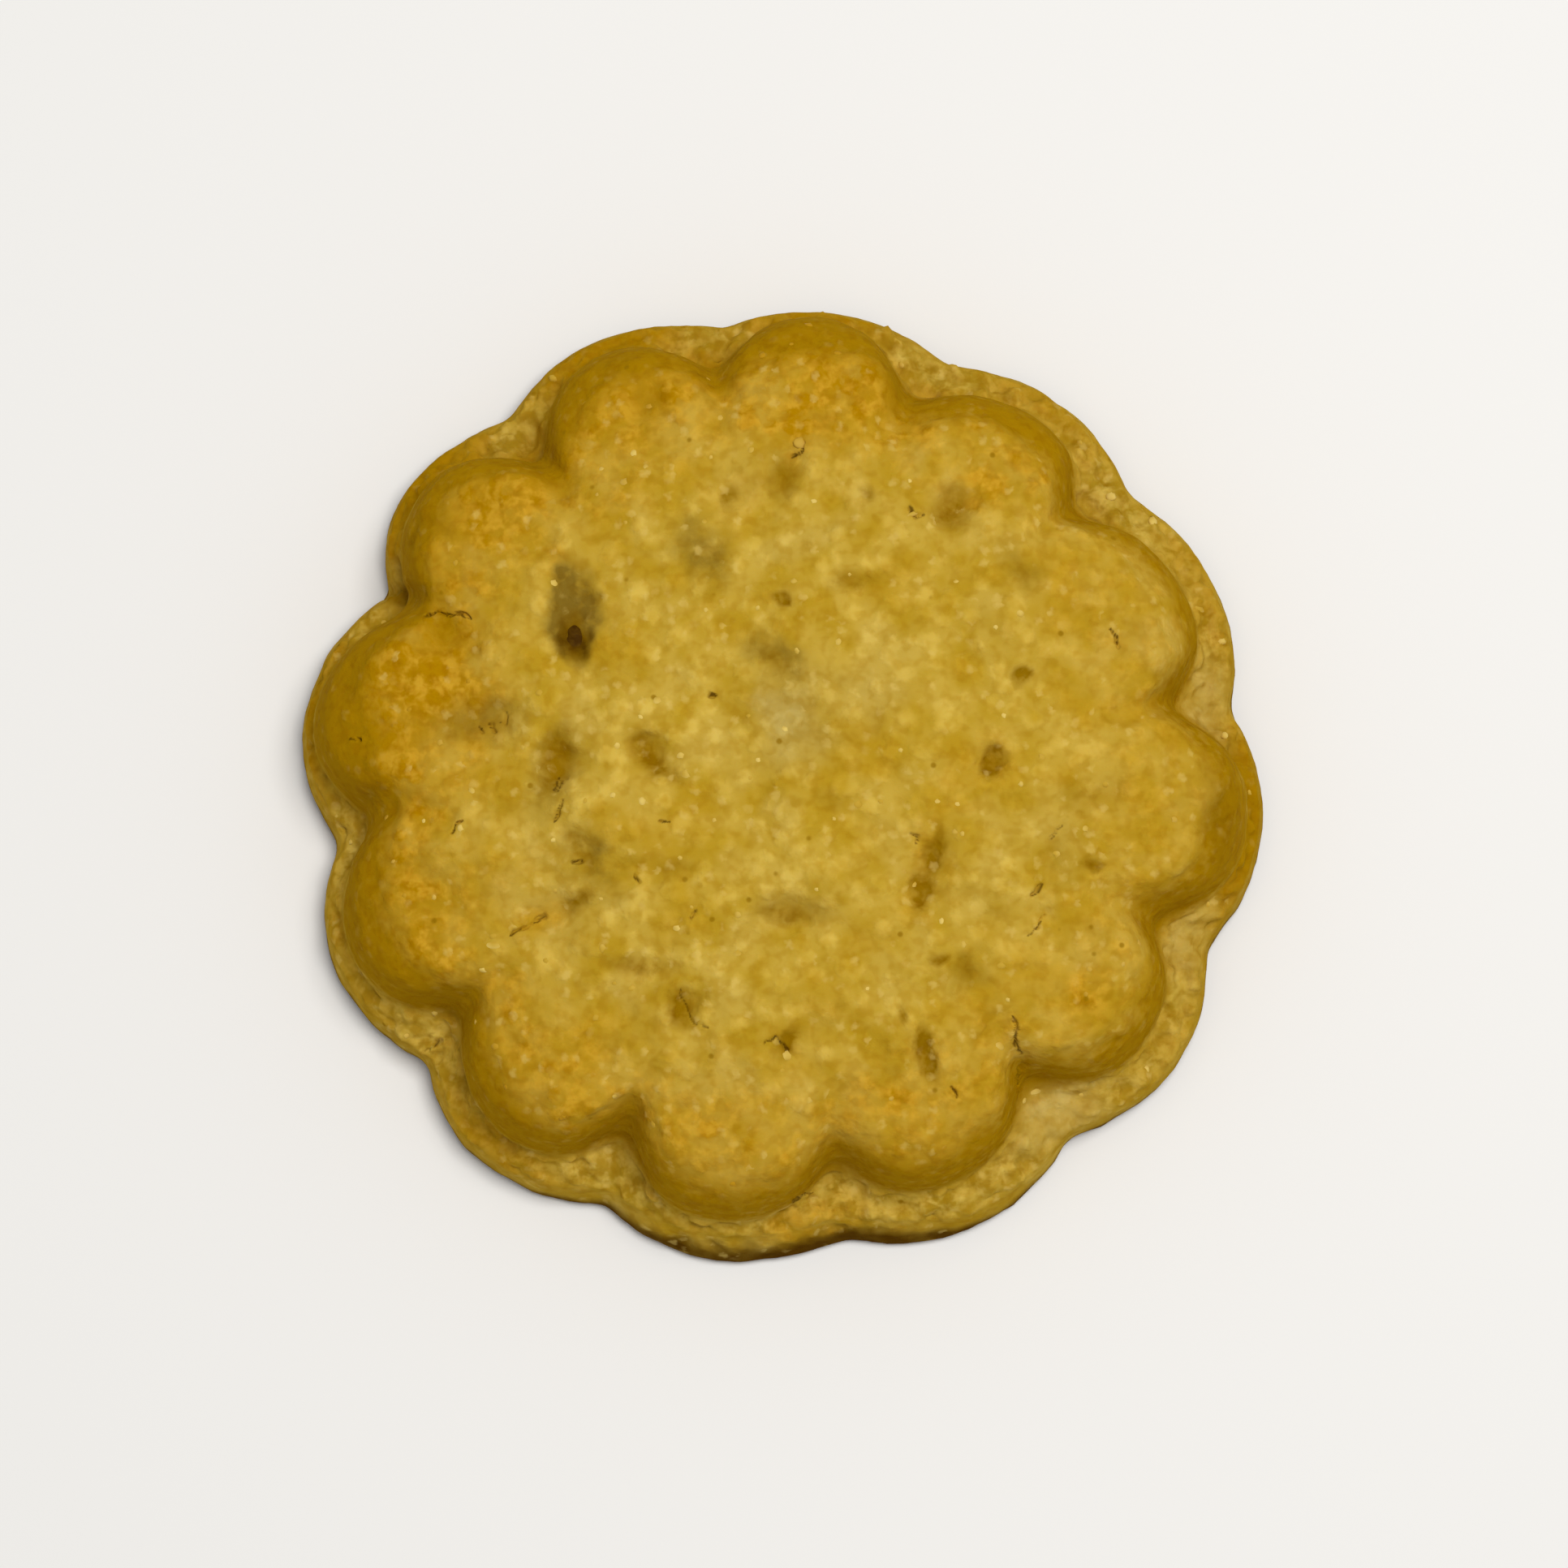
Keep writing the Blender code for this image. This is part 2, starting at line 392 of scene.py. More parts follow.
@dataclass(frozen=True)
class Crack:
    """A split in the crust along a bent line."""

    line: tuple[tuple[float, float], ...]
    width: float
    depth: float

    def distance(self, points: Array) -> Array:
        """Measure how far each point lies from the crack's line, seen from above.

        Args:
            points: one row for each point, in millimetres.

        Returns:
            One distance for each point, in millimetres.
        """
        nearest = np.full(len(points), np.inf)
        flat = points[:, :2]
        for start, end in zip(self.line, self.line[1:]):
            begin = np.array(start)
            run = np.array(end) - begin
            share = np.clip((flat - begin) @ run / (run @ run), 0.0, 1.0)
            gap = flat - begin - share[:, None] * run
            nearest = np.minimum(nearest, np.hypot(gap[:, 0], gap[:, 1]))
        return nearest

    def cover(self, points: Array, spread: Array) -> Array:
        """Return 1 on the crack's line for each point, easing to 0 at its lips.

        Args:
            points: one row for each point, in millimetres.
            spread: how much wider or narrower the crack is at each point than its plain width.

        Returns:
            One value for each point.
        """
        return 1.0 - ease(self.distance(points) / spread, 0.08 * self.width, 0.58 * self.width)


@dataclass(frozen=True)
class Valley:
    """The valley between two lobes, its painted shade, and how far its wall stands back from the solid's."""

    angle: float
    radius: float
    crease_shade: float
    set_back: float


@dataclass(frozen=True)
class Lobe:
    """How the oven took a lobe: its wall, its golden shoulder and the flange in front of it."""

    angle: float
    wall: float
    shoulder: float
    flange: float


@dataclass(frozen=True)
class Crumb:
    """A crumb or flake on the biscuit: where it lies and how big it is."""

    x: float
    y: float
    length: float
    width: float


# Pinholes, slots and crumbled places: x, y, length, width, turn, how deep beyond the solid's own
# dimples.
# Where they are, the crust is also tinted darker: partly the pits' own colour, partly painted shade.
HOLLOWS = tuple(Oval(*row) for row in (
    (10.4, 15.9, 2.5, 1.9, 70.0, 0.45), (4.25, 11.2, 3.0, 1.1, 8.0, 0.29),
    (-3.3, 16.4, 1.4, 0.9, 95.0, 0.44), (0.1, 17.7, 2.2, 1.3, 80.0, 0.4),
    (0.7, 18.8, 1.3, 0.5, 60.0, 0.24), (-8.2, 0.6, 2.6, 1.3, 125.0, 0.64),
    (-7.1, -0.6, 2.0, 1.0, 165.0, 0.42), (-13.8, 0.2, 3.6, 1.5, 80.0, 0.52),
    (-12.4, -5.1, 2.4, 0.9, 120.0, 0.35), (-6.5, -6.5, 1.8, 0.9, 0.0, 0.22),
    (-12.5, -8.5, 1.7, 1.1, 30.0, 0.45), (2.9, -2.3, 1.7, 1.2, 140.0, 0.16),
    (9.2, -5.6, 2.6, 0.9, 80.0, 0.62), (8.5, -7.6, 2.2, 0.9, 75.0, 1.0),
    (12.9, 0.2, 1.6, 0.9, 90.0, 0.95), (0.3, -9.1, 2.8, 1.0, 0.0, 0.35),
    (-8.5, -12.4, 3.6, 1.0, 175.0, 0.38), (-6.1, -14.9, 2.2, 1.3, 110.0, 0.5),
    (0.5, -17.0, 1.8, 0.9, 50.0, 0.5), (8.7, -17.8, 2.6, 0.8, 95.0, 0.85),
    (7.4, -15.4, 1.1, 0.6, 100.0, 0.36), (11.0, -12.6, 1.6, 0.9, 120.0, 0.25),
    (9.4, -12.0, 1.0, 0.6, 40.0, 0.45), (14.5, 5.4, 1.1, 0.9, 0.0, 0.7),
    (19.5, -2.0, 1.9, 1.3, 20.0, 0.14), (19.0, -6.0, 0.9, 0.8, 0.0, 0.95),
    (14.6, 12.0, 2.0, 1.5, 130.0, 0.15), (-4.9, 13.6, 2.2, 1.4, 110.0, 0.06),
    (-0.3, 6.4, 2.6, 1.2, 150.0, 0.3), (3.7, -14.7, 1.0, 0.6, 45.0, 0.2),
    (5.1, 16.8, 1.0, 0.7, 120.0, 0.42), (-0.2, 10.2, 0.9, 0.8, 0.0, 0.8),
    (-22.5, 14.6, 1.9, 0.6, 60.0, 0.45), (-23.9, 11.5, 3.6, 0.9, 152.0, 0.9),
    (-20.6, -14.4, 1.8, 1.0, 130.0, 0.35), (-25.2, -1.6, 1.6, 0.9, 30.0, 0.35),
    (-9.2, -21.2, 1.5, 1.1, 60.0, 0.3),
))

# Where the crust broke over the filling: a steep-sided hole, in a shallow grey basin above it.
FILLING_HOLE = Oval(-12.70, 7.75, 2.4, 1.5, 100.0, 0.70, 0.8)

# Splits: the line's points, width, depth.
CRACKS = tuple(Crack(*row) for row in (
    (((-21.9, 9.3), (-21.2, 9.6), (-20.5, 9.3), (-19.9, 9.4), (-19.3, 9.1)), 0.26, 0.4),
    (((20.1, 8.4), (20.5, 7.9), (20.6, 7.3)), 0.24, 0.4),
    (((14.0, -15.5), (14.3, -16.2), (14.2, -16.8), (14.5, -17.6)), 0.22, 0.4),
    (((15.3, -8.1), (15.8, -7.4)), 0.34, 0.45), (((15.9, -9.2), (15.6, -9.9), (15.0, -10.5)), 0.22, 0.35),
    (((-13.4, -2.2), (-13.7, -2.9), (-13.9, -3.5)), 0.26, 0.45),
    (((-13.6, -0.9), (-13.9, -1.6)), 0.24, 0.4),
    (((-19.6, -3.4), (-19.9, -3.6), (-20.1, -4.2)), 0.26, 0.4), (((17.0, -3.7), (16.4, -4.6)), 0.16, 0.3),
    (((-14.5, -9.2), (-15.4, -9.8), (-16.6, -10.4)), 0.22, 0.35),
    (((0.6, -26.3), (1.3, -25.9), (1.8, -25.7)), 0.26, 0.45),
    (((-12.7, -6.0), (-12.2, -5.9)), 0.34, 0.45), (((7.9, -4.4), (8.3, -4.5), (8.2, -4.9)), 0.34, 0.4),
    (((-4.4, 4.2), (-4.1, 4.1)), 0.3, 0.4), (((-7.4, -3.7), (-6.9, -3.7)), 0.34, 0.45),
    (((-26.5, 1.8), (-26.2, 1.7)), 0.36, 0.45), (((-5.6, -9.5), (-5.2, -9.1)), 0.24, 0.3),
    (((-9.0, -6.9), (-8.7, -7.2)), 0.28, 0.35), (((-18.5, 2.4), (-18.4, 2.2)), 0.26, 0.35),
    (((-17.9, 2.6), (-17.8, 2.2)), 0.26, 0.35), (((-17.2, 3.1), (-17.2, 2.6)), 0.28, 0.4),
    (((10.4, -19.7), (10.6, -20.2)), 0.24, 0.35),
    (((-6.2, -13.9), (-5.4, -15.9), (-4.6, -16.1)), 0.16, 0.25),
    (((-1.1, -17.2), (-0.4, -16.6), (0.3, -17.5)), 0.2, 0.35),
    (((7.7, 15.9), (8.1, 15.3), (8.7, 15.4)), 0.26, 0.35),
    (((1.3, 19.8), (0.9, 19.2), (0.6, 19.0)), 0.26, 0.42), (((-28.8, -14.4), (-27.6, -15.2)), 0.18, 0.3),
    (((-22.0, -16.9), (-21.2, -16.2)), 0.24, 0.35),
    (((14.7, -17.9), (14.4, -18.9), (14.5, -19.9)), 0.2, 0.3),
))

# Where the oven toasted the proud dough: x, y, length, width, turn, strength, softness.
TOASTED = tuple(Oval(*row) for row in (
    (1.0, 25.6, 10.0, 3.4, 0.0, 0.9, 0.7), (5.6, 23.2, 4.0, 4.0, 0.0, 0.95, 0.8),
    (-1.9, 22.2, 5.0, 3.4, 20.0, 0.55, 0.8), (2.2, 22.8, 2.6, 3.4, 100.0, 0.95, 0.8),
    (1.5, 20.9, 4.6, 3.2, 0.0, 0.75, 0.8), (-8.2, 23.6, 9.0, 4.2, 20.0, 0.95, 0.7),
    (-12.6, 21.4, 5.0, 4.2, 45.0, 0.75, 0.8), (-4.9, 24.4, 3.2, 3.4, 80.0, 0.75, 0.8),
    (-15.1, 18.0, 9.0, 3.6, 55.0, 1.0, 0.8), (-18.6, 15.4, 6.0, 4.6, 60.0, 0.9, 0.8),
    (-21.8, 16.6, 4.6, 3.0, 45.0, 0.45, 0.8), (-22.2, 5.2, 8.8, 4.8, 160.0, 1.25, 0.7),
    (-23.4, 1.4, 4.4, 4.8, 110.0, 1.0, 0.8), (-22.9, -7.2, 3.4, 6.4, 10.0, 0.7, 0.8),
    (-22.0, -10.6, 4.0, 3.4, 120.0, 0.8, 0.8), (-18.4, -7.4, 5.0, 5.0, 0.0, 0.25, 0.9),
    (-16.2, -19.0, 8.6, 4.0, 140.0, 0.5, 0.8), (-12.6, -17.4, 4.4, 3.4, 120.0, 0.3, 0.9),
    (-4.1, -22.4, 6.6, 4.6, 170.0, 0.5, 0.8), (-0.7, -21.0, 3.4, 2.8, 0.0, 0.3, 0.9),
    (6.2, -20.6, 6.6, 3.6, 5.0, 0.5, 0.8), (11.6, -19.0, 4.6, 3.4, 30.0, 0.35, 0.9),
    (8.9, -17.4, 2.4, 2.8, 90.0, 0.4, 0.9), (18.8, -13.7, 3.8, 3.0, 45.0, 0.62, 0.9),
    (21.4, -11.4, 3.4, 3.4, 45.0, 0.35, 0.9), (10.8, 22.2, 8.6, 3.0, 170.0, 0.8, 0.8),
    (15.4, 19.2, 4.4, 3.4, 130.0, 0.6, 0.8), (8.2, 21.2, 3.0, 3.0, 0.0, 0.85, 0.8),
    (12.2, 17.6, 4.0, 3.0, 100.0, 0.6, 0.9), (-10.4, 16.4, 5.0, 3.6, 40.0, 0.35, 0.9),
    (-14.0, 12.6, 2.2, 1.8, 0.0, 0.6, 0.9), (1.6, -27.4, 6.0, 2.4, 20.0, 0.55, 0.9),
    (9.6, -3.0, 5.0, 2.4, 60.0, 0.2, 0.9), (12.8, 0.2, 3.0, 2.2, 90.0, 0.35, 0.9),
    (8.6, -6.4, 5.4, 2.2, 78.0, 0.3, 0.9),
))

# The valleys, darkened with painted shade in their creases: angle from the right, radius, strength of
# the shade, set back.
VALLEYS = tuple(Valley(*row) for row in (
    (9.8, 23.4, 0.3, 0.6), (42.0, 23.5, 0.4, 0.5), (71.5, 24.0, 0.42, 0.4), (99.5, 25.4, 0.85, 0.0),
    (127.7, 24.0, 0.75, 0.2), (155.3, 25.2, 0.65, 0.0), (184.2, 24.9, 0.58, 0.0),
    (215.5, 23.6, 0.68, 0.3), (246.2, 22.9, 0.72, 0.6), (279.5, 22.2, 0.7, 0.6), (309.0, 22.6, 0.4, 0.8),
    (339.5, 23.3, 0.52, 0.6),
))

# Where the crust is thin and its grey-brown filling shows through, as TOASTED.
THIN_CRUST = tuple(Oval(*row) for row in (
    (-12.9, 9.6, 4.6, 2.7, 96.0, 1.35, 0.6), (-14.0, 8.8, 3.0, 1.2, 110.0, 0.45, 0.9),
    (-4.9, 13.2, 3.8, 2.4, 110.0, 0.6, 0.8), (-13.9, -0.6, 4.4, 2.2, 80.0, 0.6, 0.8),
    (-12.2, -5.6, 3.4, 1.8, 130.0, 0.6, 0.8), (-11.0, -6.9, 3.6, 2.0, 150.0, 0.45, 0.9),
    (-18.3, 2.8, 4.6, 2.4, 10.0, 0.6, 0.8), (-0.4, 6.4, 3.6, 2.2, 150.0, 0.6, 0.8),
    (0.6, 3.2, 6.0, 4.6, 120.0, 0.3, 0.9), (14.8, 11.8, 3.0, 2.2, 130.0, 0.38, 0.8),
    (0.8, -9.0, 3.4, 1.4, 0.0, 0.3, 0.8), (0.1, 17.6, 2.6, 1.8, 80.0, 0.3, 0.8),
    (-6.2, -14.6, 2.4, 2.2, 0.0, 0.3, 0.9), (11.2, -12.6, 2.8, 1.6, 40.0, 0.3, 0.9),
    (17.0, -5.0, 2.6, 6.0, 160.0, 0.25, 0.9),
))

# Floury places that stayed pale and greyish, as TOASTED. The three on the flange in the notches at
# the right are also painted light, against the shade the walls cast there.
FLOURY_AND_LIT = tuple(Oval(*row) for row in (
    (0.2, 2.4, 4.6, 3.6, 100.0, 0.95, 0.8), (5.3, 4.3, 3.6, 2.6, 20.0, 0.5, 0.9),
    (-2.6, 17.2, 3.4, 2.6, 60.0, 0.25, 0.9), (11.4, -8.8, 4.6, 2.2, 150.0, 0.2, 0.9),
    (-15.4, -5.2, 3.8, 2.0, 110.0, 0.28, 0.9), (16.8, -20.8, 5.4, 3.0, 40.0, 1.1, 0.9),
    (25.4, -9.6, 5.0, 2.6, 65.0, 0.6, 0.9), (26.4, 4.6, 5.0, 2.6, 95.0, 0.9, 0.9),
    (19.0, -11.0, 3.2, 2.2, 60.0, 0.25, 0.9),
))

# Painted shade on the outer slope, mostly at the right, laid in the dark base colour: as TOASTED.
SLOPE_SHADE = tuple(Oval(*row) for row in (
    (27.0, -3.6, 5.8, 2.4, 97.0, 0.3, 0.9), (27.6, 1.2, 3.0, 2.0, 85.0, 0.12, 0.9),
    (-16.8, 20.6, 4.0, 1.6, 45.0, 0.1, 0.9),
))

# The lobes by angle from the right: how high the brown of the wall reaches, how golden the
# shoulder is, and how brown the flange is.
LOBES = tuple(Lobe(*row) for row in (
    (24.0, 0.15, 0.15, 0.6), (54.5, 0.85, 0.3, 0.8), (86.0, 0.75, 0.75, 1.1), (112.5, 0.9, 0.6, 1.5),
    (140.5, 0.9, 0.65, 1.8), (172.5, 1.1, 1.3, 1.3), (202.0, 0.8, 0.65, 0.5), (232.0, 0.65, 0.8, 0.8),
    (260.5, 0.3, 0.6, 0.05), (292.5, 0.3, 0.55, 0.05), (324.5, 0.35, 0.12, 0.25), (355.0, 0.65, 0.1, 2.2),
))

# The larger crumbs: x, y, length, width.
CRUMBS = tuple(Crumb(*row) for row in (
    (-17.6, -11.05, 1.26, 0.61), (-18.28, -12.54, 0.71, 0.45), (-3.0, -25.5, 0.61, 0.51),
    (8.12, 15.4, 1.21, 0.4), (1.19, 19.91, 1.11, 0.81), (0.29, -17.77, 0.91, 0.71),
    (0.54, 26.33, 0.45, 0.4), (-2.08, 2.83, 0.45, 0.4), (-10.32, -2.04, 0.51, 0.45),
    (-4.15, -3.53, 0.45, 0.4), (9.66, -9.62, 0.61, 0.45), (11.04, -11.1, 0.56, 0.45),
    (9.43, -2.38, 0.51, 0.45), (5.97, -2.38, 0.51, 0.4), (16.67, -5.51, 0.66, 0.61),
    (-8.39, 18.41, 0.51, 0.45), (-9.62, 14.9, 0.4, 0.4), (-19.24, 5.17, 0.56, 0.4),
    (-1.94, 19.41, 0.61, 0.56), (-4.66, 9.41, 0.45, 0.4), (-10.2, -13.43, 0.45, 0.4),
    (-11.36, 16.66, 0.4, 0.4), (10.66, -2.53, 0.51, 0.4), (21.44, -20.09, 0.4, 0.4),
    (-17.25, -21.31, 0.91, 0.76), (26.04, 10.63, 1.01, 0.51), (25.58, 9.72, 0.56, 0.45),
    (25.05, -15.48, 0.76, 0.66), (15.59, -19.45, 1.01, 0.61), (14.94, -20.05, 0.61, 0.51),
    (-14.39, 25.17, 0.66, 0.51), (-24.61, 13.84, 0.66, 0.56), (29.0, -0.79, 0.51, 0.4),
    (-23.3, -15.98, 0.45, 0.4), (18.5, -19.6, 0.5, 0.42), (19.9, -18.3, 0.66, 0.5),
    (22.6, -18.0, 0.56, 0.42), (-19.6, 21.9, 0.6, 0.45), (-27.2, 9.4, 0.7, 0.5),
))


def lobe_heat(points: Array, part: str) -> Array:
    """Blend from lobe to lobe how the oven took one part of them.

    Args:
        points: one row for each point, in millimetres.
        part: wall, shoulder or flange.

    Returns:
        One value for each point.
    """
    angles = around_and_away(points)[0] % 360.0
    heats = [getattr(lobe, part) for lobe in LOBES]
    return np.interp(angles, [lobe.angle for lobe in LOBES], heats, period=360.0)


def strongest_cover(places: tuple[Oval, ...], points: Array) -> Array:
    """Take the strongest of several soft places at each point.

    Args:
        places: the soft places.
        points: one row for each point, in millimetres.

    Returns:
        One value for each point.
    """
    return np.maximum.reduce([place.amount * place.cover(points) for place in places])


def keep_tint(piece: Piece, tint: Tint, values: Array) -> None:
    """Keep one tint's value for each point as an attribute of the piece's mesh.

    Args:
        piece: the object whose mesh keeps it.
        tint: which tint it is.
        values: one value for each point.
    """
    layer = piece.data.attributes.new(tint.value, "FLOAT", "POINT")
    layer.data.foreach_set("value", values.astype(np.float32))


# ----------------------------------------
# Finishes


@dataclass(frozen=True)
class SemolinaCrust:
    """Baked semolina shortbread, pressed in a carved mould.

    Coarse wheat grains in butter dough: matt and mealy, straw-pale where the oven only dried it,
    golden in crumbs where it toasted it, with single grains that stay paler than the dough
    between them. Butter lets a little light in under the surface.
    """

    pale: str = "#D8B74F"
    gold: str = "#BF9A28"
    amber: str = "#C39620"
    toasted: str = "#B08002"
    golden: str = "#CF9F2A"
    # Oven brown of walls, rims and lips; also the colour of the painted shade in the valleys.
    browned_and_shade: str = "#A47A04"
    thin: str = "#866A20"
    # Darker in the pits and the filling's hole: partly their own colour, partly painted shade.
    hollow: str = "#936D06"
    flange: str = "#A28222"
    crumbed: str = "#D6BA58"
    # Pale floury dough, also laid as painted light on the flange in three notches at the right.
    floury_and_lit: str = "#D3B864"
    # Browned where the base met the tray, and painted shade on the base's side and the outer slope.
    tray_and_shade: str = "#583A04"
    stained: str = "#5C3E04"
    crack: str = "#4A3002"
    grain: str = "#E0C268"
    # Darker in the gaps between the curds: the crumbly dough's colour and painted shade in the gaps.
    crumbly_and_shade: str = "#AA8512"
    shaded: str = "#E2D070"
    roughness: float = 0.78
    roughest: float = 0.86
    ior: float = 1.45
    specular: float = 0.005
    light_share: float = 0.15
    light_spread: tuple[float, float, float] = (1.0, 0.62, 0.22)
    light_depth_mm: float = 0.6
    drift_mm: float = 5.0
    blotch_mm: float = 2.6
    mottle_mm: float = 0.9
    speck_mm: float = 0.75
    meal_mm: float = 0.28
    meal_height_mm: float = 0.10
    meal_strength: float = 0.22
    grain_mm: float = 0.80
    pinhole_mm: float = 1.9
    curd_mm: float = 1.45
    curd_height_mm: float = 0.16
    curd_strength: float = 0.5

    def build(self) -> Material:
        """Build the crust's material.

        Returns:
            A material whose colours follow the mesh's tints, broken up by dough blotches and
            grains, with a mealy surface.
        """
        material, tree = start_material("baked_semolina_crust")
        made = self.patterns(tree)
        self.ease_patterns(tree, made)
        skin = {"Base Color": self.colour(tree, made), "Roughness": made["roughness"], "IOR": self.ior,
                "Specular IOR Level": self.specular, "Normal": self.relief(tree, made),
                "Subsurface Weight": self.light_share, "Subsurface Radius": self.light_spread,
                "Subsurface Scale": self.light_depth_mm * MM}
        give_skin(tree, skin)
        return material

    def patterns(self, tree: Tree) -> Sockets:
        """Make the tints' outputs and the patterns that break them up, each at its real size.

        Args:
            tree: the material's node tree.

        Returns:
            The outputs by name. Of each kind of cell there are two: how far a point is from the
            cell's middle, and a random number for the whole cell.
        """
        place = add_node(tree, "TexCoord", {}).outputs["Object"]
        made = {tint.value: add_node(tree, "Attribute", {}, attribute_name=tint.value).outputs["Fac"]
                for tint in Tint}
        for name, size_mm, detail in (("drift", self.drift_mm, 1.5), ("blotch", self.blotch_mm, 2.0),
                                      ("mottle", self.mottle_mm, 2.5), ("meal", self.meal_mm, 2.0),
                                      ("speck", self.speck_mm, 1.0)):
            inputs = {"Vector": place, "Scale": 1.0 / (size_mm * MM), "Detail": detail, "Roughness": 0.58,
                      "Distortion": 0.2}
            made[name] = add_node(tree, "TexNoise", inputs).outputs["Fac"]
        wander = add_node(tree, "TexNoise", {"Vector": place, "Scale": 1.6 / (self.grain_mm * MM)})
        for name, size_mm, crooked, rounding in (("grain", self.grain_mm, 0.9, {}),
                                                 ("curd", self.curd_mm, 0.5, {"Smoothness": 0.6}),
                                                 ("pinhole", self.pinhole_mm, 0.0, {})):
            inputs = {0: wander.outputs["Color"], 1: (crooked * size_mm * MM,) * 3, 2: place}
            bent = add_node(tree, "VectorMath", inputs, operation="MULTIPLY_ADD").outputs["Vector"]
            inputs = {"Vector": bent, "Scale": 1.0 / (size_mm * MM), **rounding}
            cell = add_node(tree, "TexVoronoi", inputs, feature="SMOOTH_F1" if rounding else "F1")
            chance = add_node(tree, "SeparateColor", {"Color": cell.outputs["Color"]})
            made[name + "_gap"], made[name + "_chance"] = cell.outputs["Distance"], chance.outputs["Red"]
        return made

    def ease_patterns(self, tree: Tree, made: Sockets) -> None:
        """Ease the patterns into how much of a colour or a bump shows, and add these outputs.

        Args:
            tree: the material's node tree.
            made: the outputs so far by name, which this adds to.
        """
        # The new output's name, what it reads, from and to where it eases, and its value at each.
        for name, source, start, end, first, last in (
                ("blotches", "blotch", 0.32, 0.68, 0.0, 1.0), ("warm", "drift", 0.52, 0.70, 0.0, 0.40),
                ("dusty", "drift", 0.46, 0.30, 0.0, 0.30), ("crumbs", "mottle", 0.36, 0.64, 0.0, 1.0),
                ("golden", "mottle", 0.40, 0.66, 0.0, 1.0), ("curds", "curd_gap", 0.60, 0.12, 0.0, 1.0),
                # The crumbly share is darkest in the gaps between the curds, partly as painted shade there.
                ("crumbly_and_shade", "curds", 0.9, 0.0, 0.0, 0.40), ("specks", "speck", 0.42, 0.70, 0.0, 0.42),
                ("clear_of_brown_and_shade", Tint.BROWNED_AND_SHADE.value, 0.1, 0.8, 0.40, 0.10),
                ("few_grains", "grain_chance", 0.60, 0.95, 0.0, "clear_of_brown_and_shade"),
                ("grains", "grain_gap", 0.50, 0.12, 0.0, "few_grains"),
                ("few_pinholes", "pinhole_chance", 0.62, 0.75, 0.0, 0.8),
                ("pinholes", "pinhole_gap", 0.13, 0.05, 0.0, "few_pinholes"),
                ("grain_bumps", "grain_gap", 0.60, 0.10, 0.0, 0.35),
                ("roughness", "mottle", 0.3, 0.7, self.roughness, self.roughest)):
            inputs = {"Value": made[source], "From Min": start, "From Max": end, "To Min": first,
                      "To Max": made.get(last, last)}
            made[name] = add_node(tree, "MapRange", inputs, interpolation_type="SMOOTHSTEP").outputs[0]

    def broken(self, tree: Tree, tint: Socket, pattern: Socket, ragged: float) -> Socket:
        """Break up a tint's soft edge by a pattern, as heat takes mealy dough, and the painted shades alike.

        Args:
            tree: the material's node tree.
            tint: the tint's output.
            pattern: the noise that breaks it up.
            ragged: how far the pattern reaches into the tint.

        Returns:
            The output of the tint's share, from 0 to 1.
        """
        inputs = {"Value": pattern, "From Min": 0.25, "From Max": 0.75, "To Min": 1.0 - 0.5 * ragged,
                  "To Max": 1.0 + 0.5 * ragged}
        lift = add_node(tree, "MapRange", inputs, interpolation_type="SMOOTHSTEP").outputs[0]
        return add_node(tree, "Math", {0: tint, 1: lift}, operation="MULTIPLY", use_clamp=True).outputs[0]

    def colour(self, tree: Tree, made: Sockets) -> Socket:
        """Lay up the crust's colour, from plain dough to cracks.

        Args:
            tree: the material's node tree.
            made: the tints' and patterns' outputs by name.

        Returns:
            The colour's output.
        """
        inputs = {0: made["curds"], 1: 0.45, 2: made["mottle"]}
        lumps = add_node(tree, "Math", inputs, operation="MULTIPLY_ADD").outputs[0]
        made["lumpy"] = add_node(tree, "Math", {0: lumps, 1: 0.72}, operation="MULTIPLY").outputs[0]
        crumbs = lay_over(tree, self.flange, ((made["crumbs"], self.crumbed),))
        toast = lay_over(tree, self.toasted, ((made["golden"], self.golden),))
        layers = [(made["blotches"], self.gold), (made["warm"], self.amber), (made["dusty"], self.floury_and_lit)]
        for tint, pattern, ragged, layer in (
                (Tint.FLANGE, "blotch", 0.5, crumbs), (Tint.FLOURY_AND_LIT, "blotch", 0.7, self.floury_and_lit),
                (None, "crumbly_and_shade", 0.0, self.crumbly_and_shade), (Tint.TOASTED, "lumpy", 0.9, toast),
                (Tint.BROWNED_AND_SHADE, "mottle", 0.6, self.browned_and_shade), (Tint.THIN, "mottle", 0.7, self.thin),
                (Tint.TRAY_AND_SHADE, "blotch", 0.25, self.tray_and_shade), (Tint.HOLLOW, "mottle", 0.8, self.hollow),
                (Tint.STAINED, "mottle", 0.5, self.stained)):
            share = self.broken(tree, made[tint.value], made[pattern], ragged) if tint else made[pattern]
            layers.append((share, layer))
        baked = lay_over(tree, self.pale, tuple(layers))
        inputs = {0: made["specks"], 6: baked, 7: linear(self.shaded)}
        specked = add_node(tree, "Mix", inputs, data_type="RGBA", blend_type="MULTIPLY").outputs[2]
        # The pinholes are only painted: dark spots in the hollow colour, painted shade for holes the mesh
        # lacks.
        return lay_over(tree, specked, ((made["grains"], self.grain), (made["pinholes"], self.hollow),
                                        (made[Tint.CRACK.value], self.crack)))

